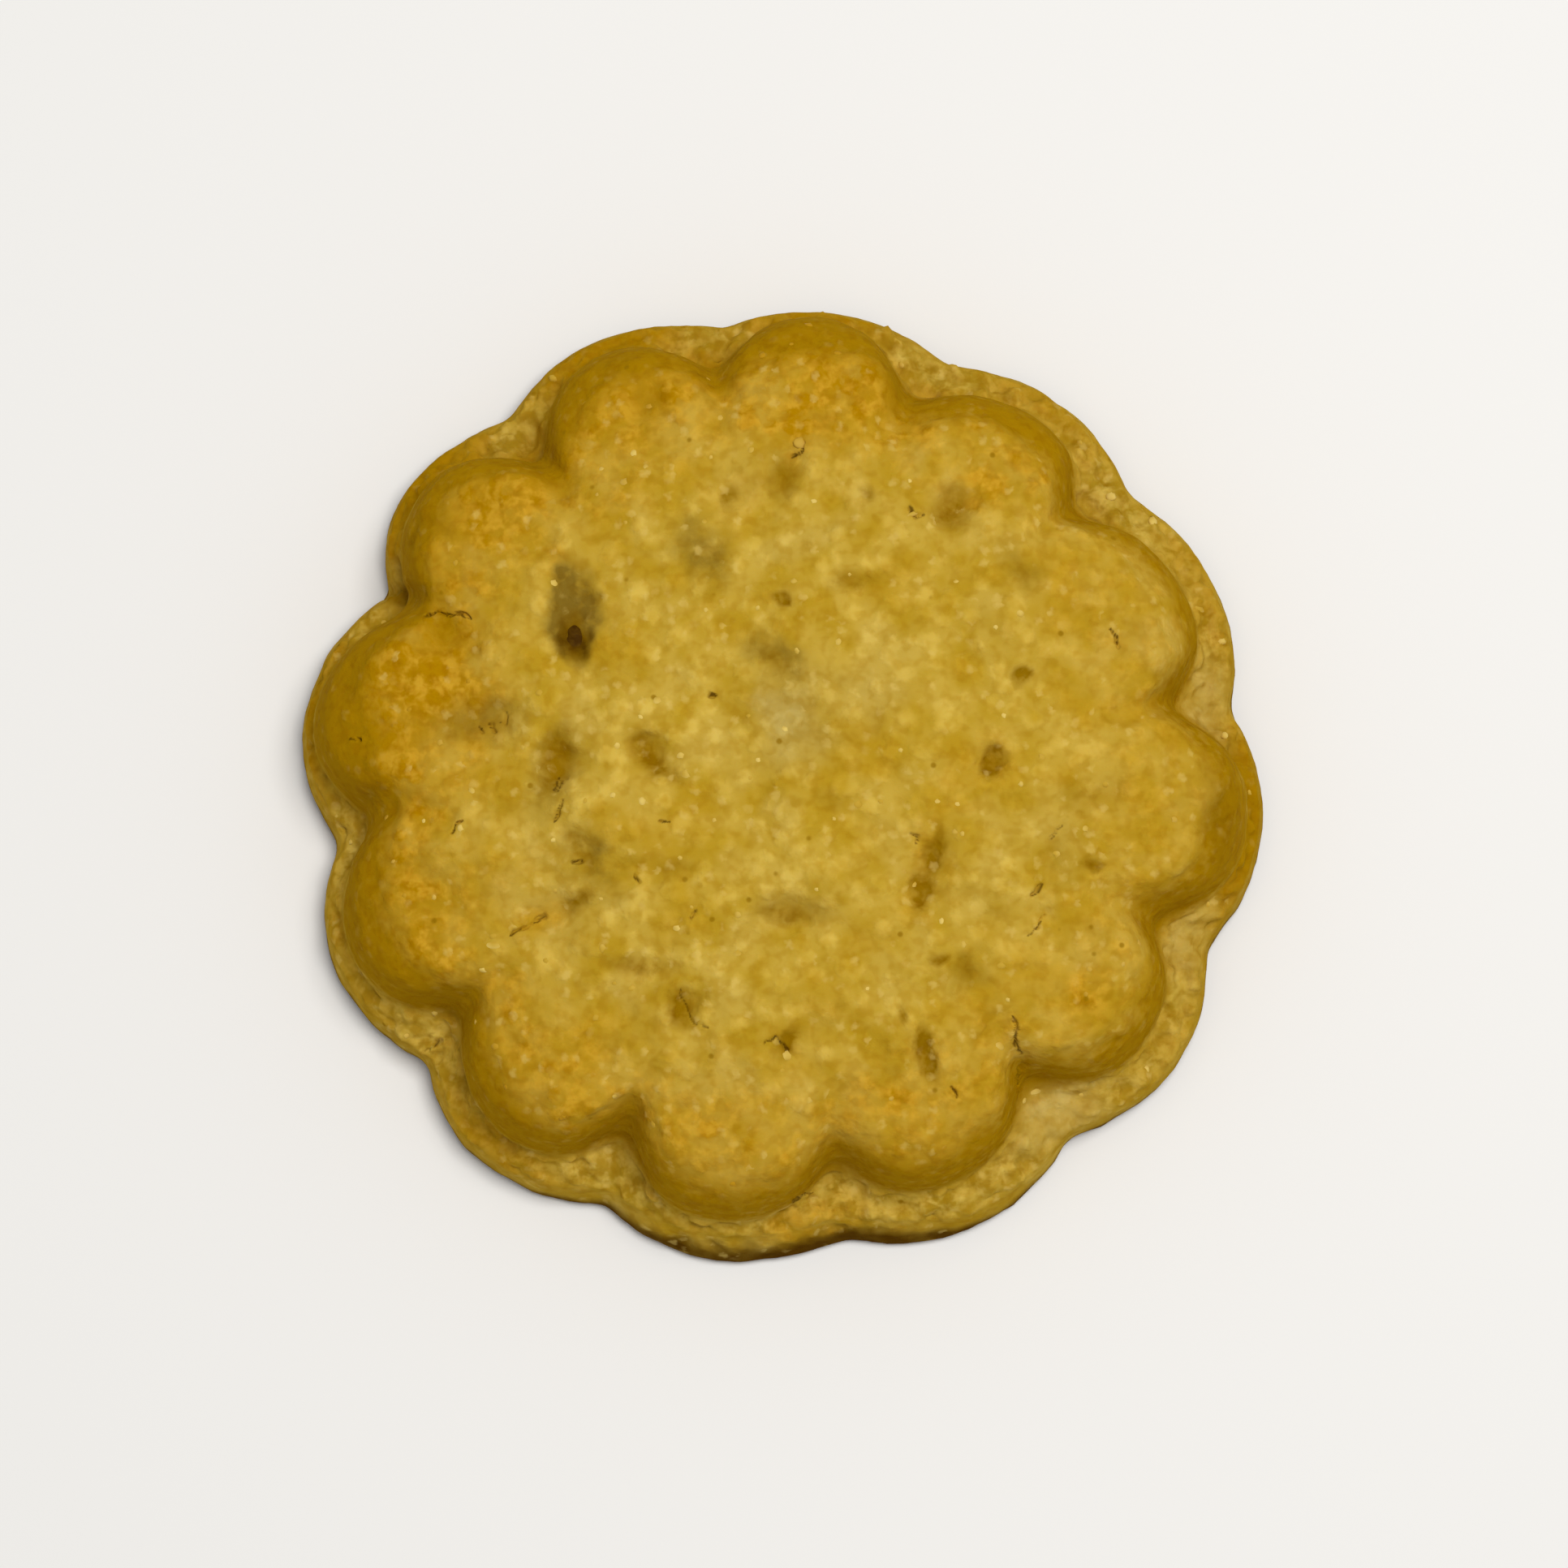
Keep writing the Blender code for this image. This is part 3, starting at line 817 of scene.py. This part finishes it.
    def relief(self, tree: Tree, made: Sockets) -> Socket:
        """Make the fine relief: curds of dough with grains and meal on them.

        Args:
            tree: the material's node tree.
            made: the patterns' outputs by name.

        Returns:
            The normal's output.
        """
        inputs = {0: made["grain_bumps"], 1: made["meal"]}
        meal = add_node(tree, "Math", inputs, operation="ADD").outputs[0]
        inputs = {"Height": made["curds"], "Strength": self.curd_strength}
        curds = add_node(tree, "Bump", {**inputs, "Distance": self.curd_height_mm * MM}).outputs["Normal"]
        inputs = {"Height": meal, "Strength": self.meal_strength, "Normal": curds}
        return add_node(tree, "Bump", {**inputs, "Distance": self.meal_height_mm * MM}).outputs["Normal"]


@dataclass(frozen=True)
class DatePaste:
    """Ground dates cooked to a paste: nearly black-brown, with fibres and an uneven moist skin."""

    dark: str = "#462B04"
    light: str = "#5E4008"
    roughness: float = 0.55
    ior: float = 1.48
    specular: float = 0.02
    fibre_mm: float = 0.5
    fibre_height_mm: float = 0.15

    def build(self) -> Material:
        """Build the paste's material.

        Returns:
            A dark material with lighter fibres that stand out a little.
        """
        material, tree = start_material("cooked_date_paste")
        place = add_node(tree, "TexCoord", {}).outputs["Object"]
        inputs = {"Vector": place, "Scale": 1.0 / (self.fibre_mm * MM), "Detail": 4.0, "Distortion": 0.6}
        fibres = add_node(tree, "TexNoise", inputs).outputs["Fac"]
        share = add_node(tree, "MapRange", {"Value": fibres, "From Min": 0.42, "From Max": 0.72}).outputs[0]
        inputs = {"Height": fibres, "Strength": 0.6, "Distance": self.fibre_height_mm * MM}
        normal = add_node(tree, "Bump", inputs).outputs["Normal"]
        give_skin(tree, {"Base Color": lay_over(tree, self.dark, ((share, self.light),)), "Normal": normal,
                         "Roughness": self.roughness, "IOR": self.ior, "Specular IOR Level": self.specular})
        return material


@dataclass(frozen=True)
class DrySemolina:
    """Dry semolina grains and crumbs: broken wheat, straw-white, chalky where they were cut."""

    pale: str = "#E0C264"
    straw: str = "#C49E32"
    toasted: str = "#B98A14"
    roughness: float = 0.7
    ior: float = 1.5
    specular: float = 0.08
    cut_mm: float = 1.7

    def build(self) -> Material:
        """Build the grains' material.

        Returns:
            A material in which each grain falls at its own place between two straws.
        """
        material, tree = start_material("dry_semolina_grain")
        place = add_node(tree, "TexCoord", {}).outputs["Object"]
        inputs = {"Vector": place, "Scale": 1.0 / (self.cut_mm * MM), "Detail": 2.0}
        cut = add_node(tree, "TexNoise", inputs).outputs["Fac"]
        share = add_node(tree, "MapRange", {"Value": cut, "From Min": 0.4, "From Max": 0.62}).outputs[0]
        heat = add_node(tree, "Attribute", {}, attribute_name=Tint.TOASTED.value).outputs["Fac"]
        colour = lay_over(tree, self.pale, ((share, self.straw), (heat, self.toasted)))
        give_skin(tree, {"Base Color": colour, "Roughness": self.roughness, "IOR": self.ior,
                         "Specular IOR Level": self.specular})
        return material


# ----------------------------------------
# Pieces


@dataclass
class BiscuitBody:
    """The pressed and baked dough: a fine copy of the solid, with its crust's relief."""

    material: Material
    name: str = "maamoul_body"
    underside_rings: tuple[float, ...] = (0.965, 0.78, 0.48)
    fine_reach_mm: float = 0.55
    foot_mm: float = 4.2
    crown_mm: tuple[float, float] = (8.0, 11.0)
    crease_passes: int = 40
    crease_top_mm: tuple[float, float] = (9.5, 7.0)
    valley_degrees: float = 8.0
    unevenness: Bumps = Bumps(0.32, 2.6, 1)
    lumps: Bumps = Bumps(0.14, 1.3, 2)
    swell: Bumps = Bumps(0.52, 5.0, 7)
    meal: Bumps = Bumps(0.021, 0.55, 4)
    grain_height_mm: float = 0.035
    grain_size_mm: float = 0.8
    grain_seed: int = 3
    ragged_edge: tuple[Bumps, ...] = (Bumps(0.08, 1.7, 5), Bumps(0.048, 0.7, 6))
    crumbled_flange: tuple[Bumps, ...] = (Bumps(0.55, 1.1, 8), Bumps(0.385, 0.6, 9))
    wall_relief: float = 0.35
    hollow_depth: float = 0.45
    hollow_scale_mm: float = 0.5
    crack_spread: float = 0.72
    heat_passes: int = 16
    brown_from_mm: tuple[float, float] = (11.0, 12.1)
    brown_full_mm: tuple[float, float] = (8.0, 10.4)
    uneven_brown: tuple[Bumps, Bumps] = (Bumps(0.6, 1.4, 24), Bumps(0.5, 0.9, 25))
    drawn_radius_mm: float = 22.0
    toast_strength: float = 1.45
    shoulder_mm: tuple[float, float] = (12.9, 11.7)
    valley_size_mm: tuple[float, float] = (4.4, 2.6)
    valley_top_mm: tuple[float, float] = (12.2, 9.0)
    rim_radius_mm: float = 29.4
    rim_size_mm: tuple[float, float] = (10.0, 4.2)
    rim_top_mm: tuple[float, float] = (9.0, 7.0)
    sheen_of_heat: float = 0.30
    sheen_from_mm: tuple[float, float] = (14.0, 24.0)
    lip_heat: float = 0.42
    lip_top_mm: float = 6.0
    # How high the dark of the base reaches: tray browning and painted shade on the base's side.
    tray_and_shade_mm: float = 2.1
    # How much higher the painted shade reaches at the front, the side away from the light.
    front_shade_mm: float = 1.0
    front_degrees: tuple[float, float] = (10.0, 28.0)

    def build(self) -> Piece:
        """Build the dressed body.

        Returns:
            The crust's object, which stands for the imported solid.
        """
        piece = self.copy_solid()
        self.rebuild_underside(piece)
        apply_modifier(piece, "SUBSURF", levels=2, render_levels=2)
        self.soften_crease(piece)
        self.refine_at_marks(piece)
        self.sculpt(piece)
        self.tint(piece)
        finish_piece(piece, self.material)
        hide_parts(NODE)
        return piece

    def copy_solid(self) -> Piece:
        """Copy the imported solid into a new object, merged and turned back to four-sided faces.

        Returns:
            The new object, still as coarse as the solid.
        """
        piece = bpy.data.objects.new(self.name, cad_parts[NODE].data.copy())
        bpy.context.scene.collection.objects.link(piece)
        make_active(piece)
        bpy.ops.mesh.customdata_custom_splitnormals_clear()
        bpy.ops.object.mode_set(mode="EDIT")
        bpy.ops.mesh.select_all(action="SELECT")
        bpy.ops.mesh.remove_doubles(threshold=0.01 * MM)
        bpy.ops.mesh.tris_convert_to_quads(face_threshold=math.pi, shape_threshold=math.pi)
        bpy.ops.object.mode_set(mode="OBJECT")
        return piece

    def rebuild_underside(self, piece: Piece) -> None:
        """Replace the flat underside by rings that can be subdivided evenly.

        Args:
            piece: the copied solid.
        """
        edit_faces(piece, (face_values(piece, "normal")[:, 2] < -0.9)
                   & (face_values(piece, "center")[:, 2] < 0.05 * MM))
        bpy.ops.mesh.delete(type="FACE")
        bpy.ops.mesh.select_mode(type="EDGE")
        bpy.ops.mesh.select_all(action="DESELECT")
        bpy.ops.mesh.select_non_manifold()
        last = 1.0
        for share in self.underside_rings:
            bpy.ops.mesh.extrude_edges_move()
            bpy.ops.transform.resize(value=(share / last, share / last, 1.0), center_override=MIDDLE)
            last = share
        bpy.ops.mesh.extrude_edges_move()
        bpy.ops.mesh.merge(type="CENTER")
        bpy.ops.mesh.select_all(action="SELECT")
        bpy.ops.mesh.normals_make_consistent(inside=False)
        bpy.ops.object.mode_set(mode="OBJECT")

    def soften_crease(self, piece: Piece) -> None:
        """Round the inner corner between wall and flange, as soft dough comes out of a mould.

        Args:
            piece: the subdivided body.
        """
        height = read_points(piece)[0][:, 2]
        near = ease(height, self.foot_mm - 0.3, self.foot_mm + 0.2) * ease(height, *self.crease_top_mm)
        group = piece.vertex_groups.new(name="crease")
        for index in np.flatnonzero(near > 0.02).tolist():
            group.add([index], float(near[index]), "REPLACE")
        apply_modifier(piece, "SMOOTH", factor=0.5, iterations=self.crease_passes, vertex_group=group.name)
        piece.vertex_groups.clear()

    def refine_at_marks(self, piece: Piece) -> None:
        """Divide the faces by the cracks and the filling's hole, so that their lips are crisp.

        Args:
            piece: the subdivided body.
        """
        centres = face_values(piece, "center") / MM
        chosen = FILLING_HOLE.cover(centres) > 0.0
        for crack in CRACKS:
            chosen |= crack.distance(centres) < self.fine_reach_mm
        edit_faces(piece, chosen & (face_values(piece, "normal")[:, 2] > 0.0))
        bpy.ops.mesh.subdivide(number_cuts=2)
        bpy.ops.object.mode_set(mode="OBJECT")

    def warp(self, points: Array, reach: float, size: float) -> Array:
        """Shift points sideways by noise, so that marks laid on them get ragged outlines.

        Args:
            points: one row for each point, in millimetres.
            reach: how far they shift, in millimetres.
            size: the size of the outline's rags, in millimetres.

        Returns:
            The shifted points.
        """
        shifted = points.copy()
        shifted[:, 0] += Bumps(reach, size, 21).at(points)
        shifted[:, 1] += Bumps(reach, size, 22).at(points)
        return shifted

    def marks(self, points: Array) -> tuple[Array, Array]:
        """Work out how deep the hollows and the cracks are.

        Args:
            points: one row for each point, in millimetres.

        Returns:
            The depth of the hollows and that of the cracks at each point, in millimetres.
        """
        ragged = self.warp(self.warp(points, 0.40, 1.5), 0.16, 0.5)
        wandering = self.warp(points, 0.16, 0.5)
        spread = np.maximum(self.crack_spread + Bumps(1.0, 0.7, 23).at(points), 0.1)
        cracks = [crack.depth * crack.cover(wandering, spread) for crack in CRACKS]
        return strongest_cover(HOLLOWS + (FILLING_HOLE,), ragged), np.maximum.reduce(cracks)

    def sculpt(self, piece: Piece) -> None:
        """Move the points of the fine mesh to make the crust's relief.

        Args:
            piece: the subdivided body.
        """
        points, normals = read_points(piece)
        points = points - self.set_back(points)
        height, facing = points[:, 2], normals[:, 2]
        steep = np.abs(facing)
        up = ease(facing, -0.2, 0.3)
        side = ease(steep, 0.8, 0.3) * ease(height, self.foot_mm + 0.8, self.foot_mm - 0.4)
        low_dough = ease(facing, 0.3, 0.8) * ease(height, self.foot_mm + 3.0, self.foot_mm)
        grains = grains_at(points, self.grain_size_mm, self.grain_seed)
        relief = self.unevenness.at(points) + self.lumps.at(points) + self.meal.at(points)
        relief += self.grain_height_mm * (2.0 * grains - 1.0)
        relief += up * ease(height, *self.crown_mm) * (self.swell.at(points) - 0.5 * self.swell.height)
        relief += side * sum(bumps.at(points) for bumps in self.ragged_edge)
        relief += low_dough * sum(bumps.at(points) for bumps in self.crumbled_flange)
        relief *= self.wall_relief + (1.0 - self.wall_relief) * ease(steep, 0.25, 0.65)
        hollows, cracks = self.marks(points)
        relief -= up * (self.hollow_depth * hollows + cracks)
        write_points(piece, points + normals * relief[:, None])
        LOG.info("crust relief from %.2f to %.2f mm", relief.min(), relief.max())

    def set_back(self, points: Array) -> Array:
        """Work out how far the wall stands back towards the middle in the valleys.

        Args:
            points: one row for each point, in millimetres.

        Returns:
            The outward way from each point's new place to its old one, in millimetres.
        """
        angles, away = around_and_away(points)
        wall = ease(points[:, 2], self.foot_mm, self.foot_mm + 1.5) * ease(away, 18.5, 22.0)
        back = np.zeros(len(points))
        for valley in VALLEYS:
            apart = np.abs((angles - valley.angle + 180.0) % 360.0 - 180.0)
            back = np.maximum(back, valley.set_back * ease(apart, self.valley_degrees, 0.0))
        outward = points * (1.0, 1.0, 0.0) / np.maximum(away, 1.0)[:, None]
        return outward * (back * wall)[:, None]

    def beside_lobe(self, angle: float, radius: float, size: tuple[float, float], turn: float,
                    strength: float) -> Oval:
        """Make a soft oval beside or on a lobe.

        Args:
            angle: where it is, in degrees from the right.
            radius: how far out it is, in millimetres.
            size: its length and width, in millimetres.
            turn: its turn from the line that runs outwards, in degrees.
            strength: how strong it is.

        Returns:
            The oval.
        """
        around = math.radians(angle)
        return Oval(radius * math.cos(around), radius * math.sin(around), *size, angle + turn, strength, 0.95)

    def browned_wall(self, points: Array, rough: Array, above_foot: Array) -> Array:
        """Brown the wall of each lobe as high as the oven took it.

        Args:
            points: one row for each point, in millimetres.
            rough: how far the brown's upper edge wavers at each point, in millimetres.
            above_foot: 1 on the wall and crown and 0 on the base, for each point.

        Returns:
            One value for each point.
        """
        heat = lobe_heat(points, "wall")
        start, full = ((low + heat * (high - low)) for low, high in (self.brown_from_mm, self.brown_full_mm))
        share = (start - points[:, 2] - rough) / (start - full)
        return (1.0 + 0.2 * heat) * ease(share, 0.0, 1.0) * above_foot

    def tint(self, piece: Piece) -> None:
        """Keep on the mesh how oven and hand changed each place, and where shade and light are painted.

        Args:
            piece: the sculpted body.
        """
        points, normals = read_points(piece)
        height, facing = points[:, 2], normals[:, 2]
        angles, away = around_and_away(points)
        top = ease(facing, 0.1, 0.5)
        above_foot = ease(height, self.foot_mm, self.foot_mm + 1.2)
        ragged = self.warp(self.warp(points, 0.9, 2.2), 0.4, 0.8)
        drawn = np.column_stack((np.radians(angles) * self.drawn_radius_mm, 0.3 * height, 0.0 * height))
        wavers, streaks = self.uneven_brown
        rough = wavers.at(points) + streaks.at(drawn)
        wall = spread_over(piece, self.browned_wall(points, rough, above_foot), self.heat_passes)
        low_dough = spread_over(piece, ease(facing, 0.45, 0.85) * (1.0 - above_foot), self.heat_passes)
        # Painted shade in the valleys between the lobes, laid in the brown colour.
        valleys = tuple(self.beside_lobe(valley.angle, valley.radius, self.valley_size_mm, 0.0, valley.crease_shade)
                        for valley in VALLEYS)
        rims = tuple(self.beside_lobe(lobe.angle, self.rim_radius_mm, self.rim_size_mm, 90.0, lobe.flange)
                     for lobe in LOBES)
        edge = top * strongest_cover(rims, ragged) * ease(height, *self.rim_top_mm)
        shoulder = 0.15 + 0.75 * lobe_heat(points, "shoulder")
        shoulder *= ease(height, *self.shoulder_mm) * above_foot
        sheen = self.sheen_of_heat * ease(away, *self.sheen_from_mm) * (0.3 + 0.7 * above_foot)
        lip = self.lip_heat * (0.5 + 0.6 * lobe_heat(points, "flange"))
        # Painted shade: the base's dark side reaches higher at the front, away from the light.
        front = 1.0 - ease(np.abs((angles + 270.0) % 360.0 - 180.0), *self.front_degrees)
        tray_and_shade = self.tray_and_shade_mm + self.front_shade_mm * front + 0.5 * rough
        toasted = self.toast_strength * strongest_cover(TOASTED, ragged)
        # Oven browning of wall, rim and lip, and the painted shade in the valleys.
        browned_and_shade = (wall, 0.55 * edge, lip * ease(facing, 0.93, 0.6) * (height < self.lip_top_mm),
                   top * strongest_cover(valleys, ragged) * ease(height, *self.valley_top_mm))
        hollows, cracks = self.marks(points)
        for tint, values in (
                (Tint.TOASTED, top * np.maximum.reduce((toasted, shoulder, 0.9 * edge, sheen))),
                (Tint.THIN, top * strongest_cover(THIN_CRUST, ragged)),
                (Tint.FLOURY_AND_LIT, top * strongest_cover(FLOURY_AND_LIT, ragged)),
                (Tint.BROWNED_AND_SHADE, np.maximum.reduce(browned_and_shade)),
                (Tint.FLANGE, low_dough),
                # The base's side: tray browning and painted shade; then the painted shade on the outer slope.
                (Tint.TRAY_AND_SHADE, np.maximum(ease(facing, 0.98, 0.5) * ease(height, tray_and_shade, tray_and_shade - 1.5),
                                       top * strongest_cover(SLOPE_SHADE, ragged))),
                (Tint.STAINED, 0.95 * FILLING_HOLE.cover(ragged)),
                # Darker in the hollows: partly their own colour, partly painted shade.
                (Tint.HOLLOW, top * np.clip(hollows / self.hollow_scale_mm, 0.0, 1.0)),
                (Tint.CRACK, 0.8 * top * ease(cracks, 0.08, 0.36))):
            keep_tint(piece, tint, values)


@dataclass
class DateFilling:
    """The knob of date paste that shows where the crust broke over it."""

    material: Material
    name: str = "date_filling"
    size_mm: tuple[float, float, float] = (0.95, 1.40, 0.60)
    shows_mm: float = 0.20
    lumps: tuple[Bumps, ...] = (Bumps(0.12, 0.8, 31), Bumps(0.06, 0.35, 32))

    def build(self, crust: Piece) -> Piece:
        """Build the knob of paste, lumpy as it was pressed.

        Args:
            crust: the body, whose hole it lies in.

        Returns:
            The paste's object.
        """
        start = Vector((FILLING_HOLE.x * MM, FILLING_HOLE.y * MM, ABOVE_ALL_M))
        floor = crust.ray_cast(start, DOWN)[1]
        middle = floor + Vector((0.0, 0.0, self.shows_mm - self.size_mm[2])) * MM
        bpy.ops.object.select_all(action="DESELECT")
        bpy.ops.mesh.primitive_ico_sphere_add(subdivisions=5, radius=MM, location=middle)
        piece = bpy.context.active_object
        piece.name = self.name
        bpy.ops.object.mode_set(mode="EDIT")
        bpy.ops.mesh.select_all(action="SELECT")
        bpy.ops.transform.resize(value=self.size_mm, center_override=middle)
        bpy.ops.object.mode_set(mode="OBJECT")
        bpy.ops.object.transform_apply(location=True, rotation=True, scale=True)
        points, normals = read_points(piece)
        relief = sum(bumps.at(points) for bumps in self.lumps)
        write_points(piece, points + normals * relief[:, None])
        finish_piece(piece, self.material)
        return piece


@dataclass
class SemolinaGrains:
    """Single grains and crumbs that stand out of the crust or lie on its flange."""

    material: Material
    name: str = "semolina_grains"
    scattered: int = 110
    smallest_mm: float = 0.42
    largest_mm: float = 0.78
    thickest_mm: float = 0.6
    flatness: float = 0.6
    sunk_share: float = 0.34
    reach_mm: float = 29.0
    lowest_mm: float = 3.4
    steepest: float = 0.25
    seed: int = 7

    def build(self, crust: Piece) -> Piece:
        """Build all grains as one mesh.

        Args:
            crust: the finished body that the grains lie on.

        Returns:
            The grains' object.
        """
        pattern = self.first_grain()
        chance = random.Random(self.seed)
        laid = [self.lay(pattern, crust, crumb, chance) for crumb in CRUMBS + self.scatter(chance)]
        grains = [grain for grain in laid if grain is not None]
        bpy.data.objects.remove(pattern)
        make_active(grains[0])
        for grain in grains:
            grain.select_set(True)
        bpy.ops.object.join()
        piece = bpy.context.active_object
        piece.name = self.name
        bpy.ops.object.transform_apply(location=True, rotation=True, scale=True)
        self.settle(piece)
        finish_piece(piece, self.material)
        LOG.info("%d grains and crumbs", len(grains))
        return piece

    def first_grain(self) -> Piece:
        """Model one grain, 1 mm across: a small sphere with two broken faces.

        Returns:
            The grain's object, at the origin.
        """
        bpy.ops.object.select_all(action="DESELECT")
        bpy.ops.mesh.primitive_ico_sphere_add(subdivisions=2, radius=0.5 * MM, location=MIDDLE)
        bpy.ops.object.mode_set(mode="EDIT")
        for place, slope in (((0.30, 0.05, 0.10), (0.9, 0.1, 0.4)), ((-0.15, 0.32, 0.05), (-0.4, 0.9, 0.3))):
            bpy.ops.mesh.select_all(action="SELECT")
            bpy.ops.mesh.bisect(plane_co=Vector(place) * MM, plane_no=slope, use_fill=True, clear_outer=True)
        bpy.ops.object.mode_set(mode="OBJECT")
        return bpy.context.active_object

    def scatter(self, chance: random.Random) -> tuple[Crumb, ...]:
        """Spread small grains at random over the whole biscuit.

        Args:
            chance: the seeded source of their places and sizes.

        Returns:
            The grains.
        """
        crumbs = []
        while len(crumbs) < self.scattered:
            x, y = (chance.uniform(-self.reach_mm, self.reach_mm) for _ in range(2))
            if math.hypot(x, y) < self.reach_mm:
                length = chance.uniform(self.smallest_mm, self.largest_mm)
                crumbs.append(Crumb(x, y, length, length * chance.uniform(0.7, 1.0)))
        return tuple(crumbs)

    def lay(self, pattern: Piece, crust: Piece, crumb: Crumb, chance: random.Random) -> Piece | None:
        """Lay a copy of the grain on the crust.

        Args:
            pattern: the grain to copy.
            crust: the body that it lies on.
            crumb: where it lies and how big it is.
            chance: the seeded source of its turn.

        Returns:
            The laid grain, or None where there is no crust under the place.
        """
        hit, spot, normal, _ = crust.ray_cast(Vector((crumb.x * MM, crumb.y * MM, ABOVE_ALL_M)), DOWN)
        if not hit or normal.z < self.steepest or spot.z < self.lowest_mm * MM:
            return None
        grain = bpy.data.objects.new("grain", pattern.data.copy())
        bpy.context.scene.collection.objects.link(grain)
        thick = min(crumb.width, self.thickest_mm) * self.flatness
        # A long flake keeps the way it lies, and a round grain lies anyhow.
        most_turn = math.pi if crumb.length < 0.7 else 0.4
        turn = Quaternion((0.0, 0.0, 1.0), chance.uniform(-most_turn, most_turn))
        grain.rotation_mode = "QUATERNION"
        grain.rotation_quaternion = Vector((0.0, 0.0, 1.0)).rotation_difference(normal) @ turn
        grain.scale = (crumb.length, crumb.width, thick)
        grain.location = spot - normal * self.sunk_share * thick * MM
        return grain

    def settle(self, piece: Piece) -> None:
        """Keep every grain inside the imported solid's box, and toast it as the crust under it.

        Args:
            piece: the joined grains.
        """
        write_points(piece, read_points(piece)[0])
        points = read_points(piece)[0]
        on_wall = ease(around_and_away(points)[1], 23.0, 25.5) * ease(points[:, 2], 4.8, 6.5)
        keep_tint(piece, Tint.TOASTED, np.maximum(strongest_cover(TOASTED, points), on_wall))


# ----------------------------------------
# The studio


@dataclass(frozen=True)
class Studio:
    """A plain pale floor, one large soft light above and behind, and the camera."""

    floor_colour: str = "#F4F2EE"
    floor_roughness: float = 0.9
    floor_specular: float = 0.1
    floor_size_m: float = 4.0
    target_mm: tuple[float, float, float] = (0.045, -0.185, 3.0)
    elevation: float = 84.0
    distance_m: float = 0.5
    lens_mm: float = 184.5
    sensor_mm: float = 36.0
    nearest_m: float = 0.01
    shift_pixels: float = 1.0
    light_place_m: tuple[float, float, float] = (0.11, 0.07, 0.57)
    light_size_m: float = 0.26
    light_watts: float = 2.24
    room_colour: str = "#FFFFFF"
    room_strength: float = 0.38

    def build(self) -> None:
        """Build the floor, the lights and the camera."""
        self.build_camera()
        self.build_floor()
        self.build_light()
        bpy.context.scene.view_settings.view_transform = "Standard"
        LOG.info("studio: floor, light and camera")

    def build_camera(self) -> None:
        """Build the camera that looks almost straight down on the biscuit."""
        rise = math.radians(self.elevation)
        back = Vector((0.0, -math.cos(rise), math.sin(rise))) * self.distance_m
        bpy.ops.object.camera_add(location=Vector(self.target_mm) * MM + back,
                                  rotation=(math.radians(90.0) - rise, 0.0, 0.0))
        camera = bpy.context.active_object
        camera.data.sensor_width = self.sensor_mm
        camera.data.lens = self.lens_mm
        camera.data.shift_x = self.shift_pixels / FRAME_PIXELS
        camera.data.clip_start = self.nearest_m
        camera.data.dof.use_dof = False
        bpy.context.scene.camera = camera

    def build_floor(self) -> None:
        """Build the floor that the biscuit rests on."""
        bpy.ops.object.select_all(action="DESELECT")
        bpy.ops.mesh.primitive_plane_add(size=self.floor_size_m, location=MIDDLE)
        floor = bpy.context.active_object
        floor.name = "studio_floor"
        material, tree = start_material("matt_white_paper")
        give_skin(tree, {"Base Color": linear(self.floor_colour), "Roughness": self.floor_roughness,
                         "Specular IOR Level": self.floor_specular})
        floor.data.materials.append(material)

    def build_light(self) -> None:
        """Build the soft light and the pale surroundings."""
        bpy.ops.object.light_add(type="AREA", location=self.light_place_m)
        lamp = bpy.context.active_object
        lamp.data.shape = "DISK"
        lamp.data.size = self.light_size_m
        lamp.data.energy = self.light_watts
        lamp.rotation_mode = "QUATERNION"
        lamp.rotation_quaternion = lamp.location.to_track_quat("Z", "Y")
        world = bpy.data.worlds.new("pale_room")
        world.use_nodes = True
        world.node_tree.nodes.clear()
        inputs = {"Color": linear(self.room_colour), "Strength": self.room_strength}
        room = add_node(world.node_tree, "Background", inputs).outputs["Background"]
        add_node(world.node_tree, "OutputWorld", {"Surface": room})
        bpy.context.scene.world = world


def main() -> None:
    logging.basicConfig(level=logging.INFO, format="%(name)s: %(message)s")
    Studio().build()
    body = BiscuitBody(SemolinaCrust().build()).build()
    filling = DateFilling(DatePaste().build()).build(body)
    grains = SemolinaGrains(DrySemolina().build()).build(body)
    for piece in (body, filling, grains):
        LOG.info("%s: %d faces", piece.name, len(piece.data.polygons))


if __name__ == "__main__":
    main()
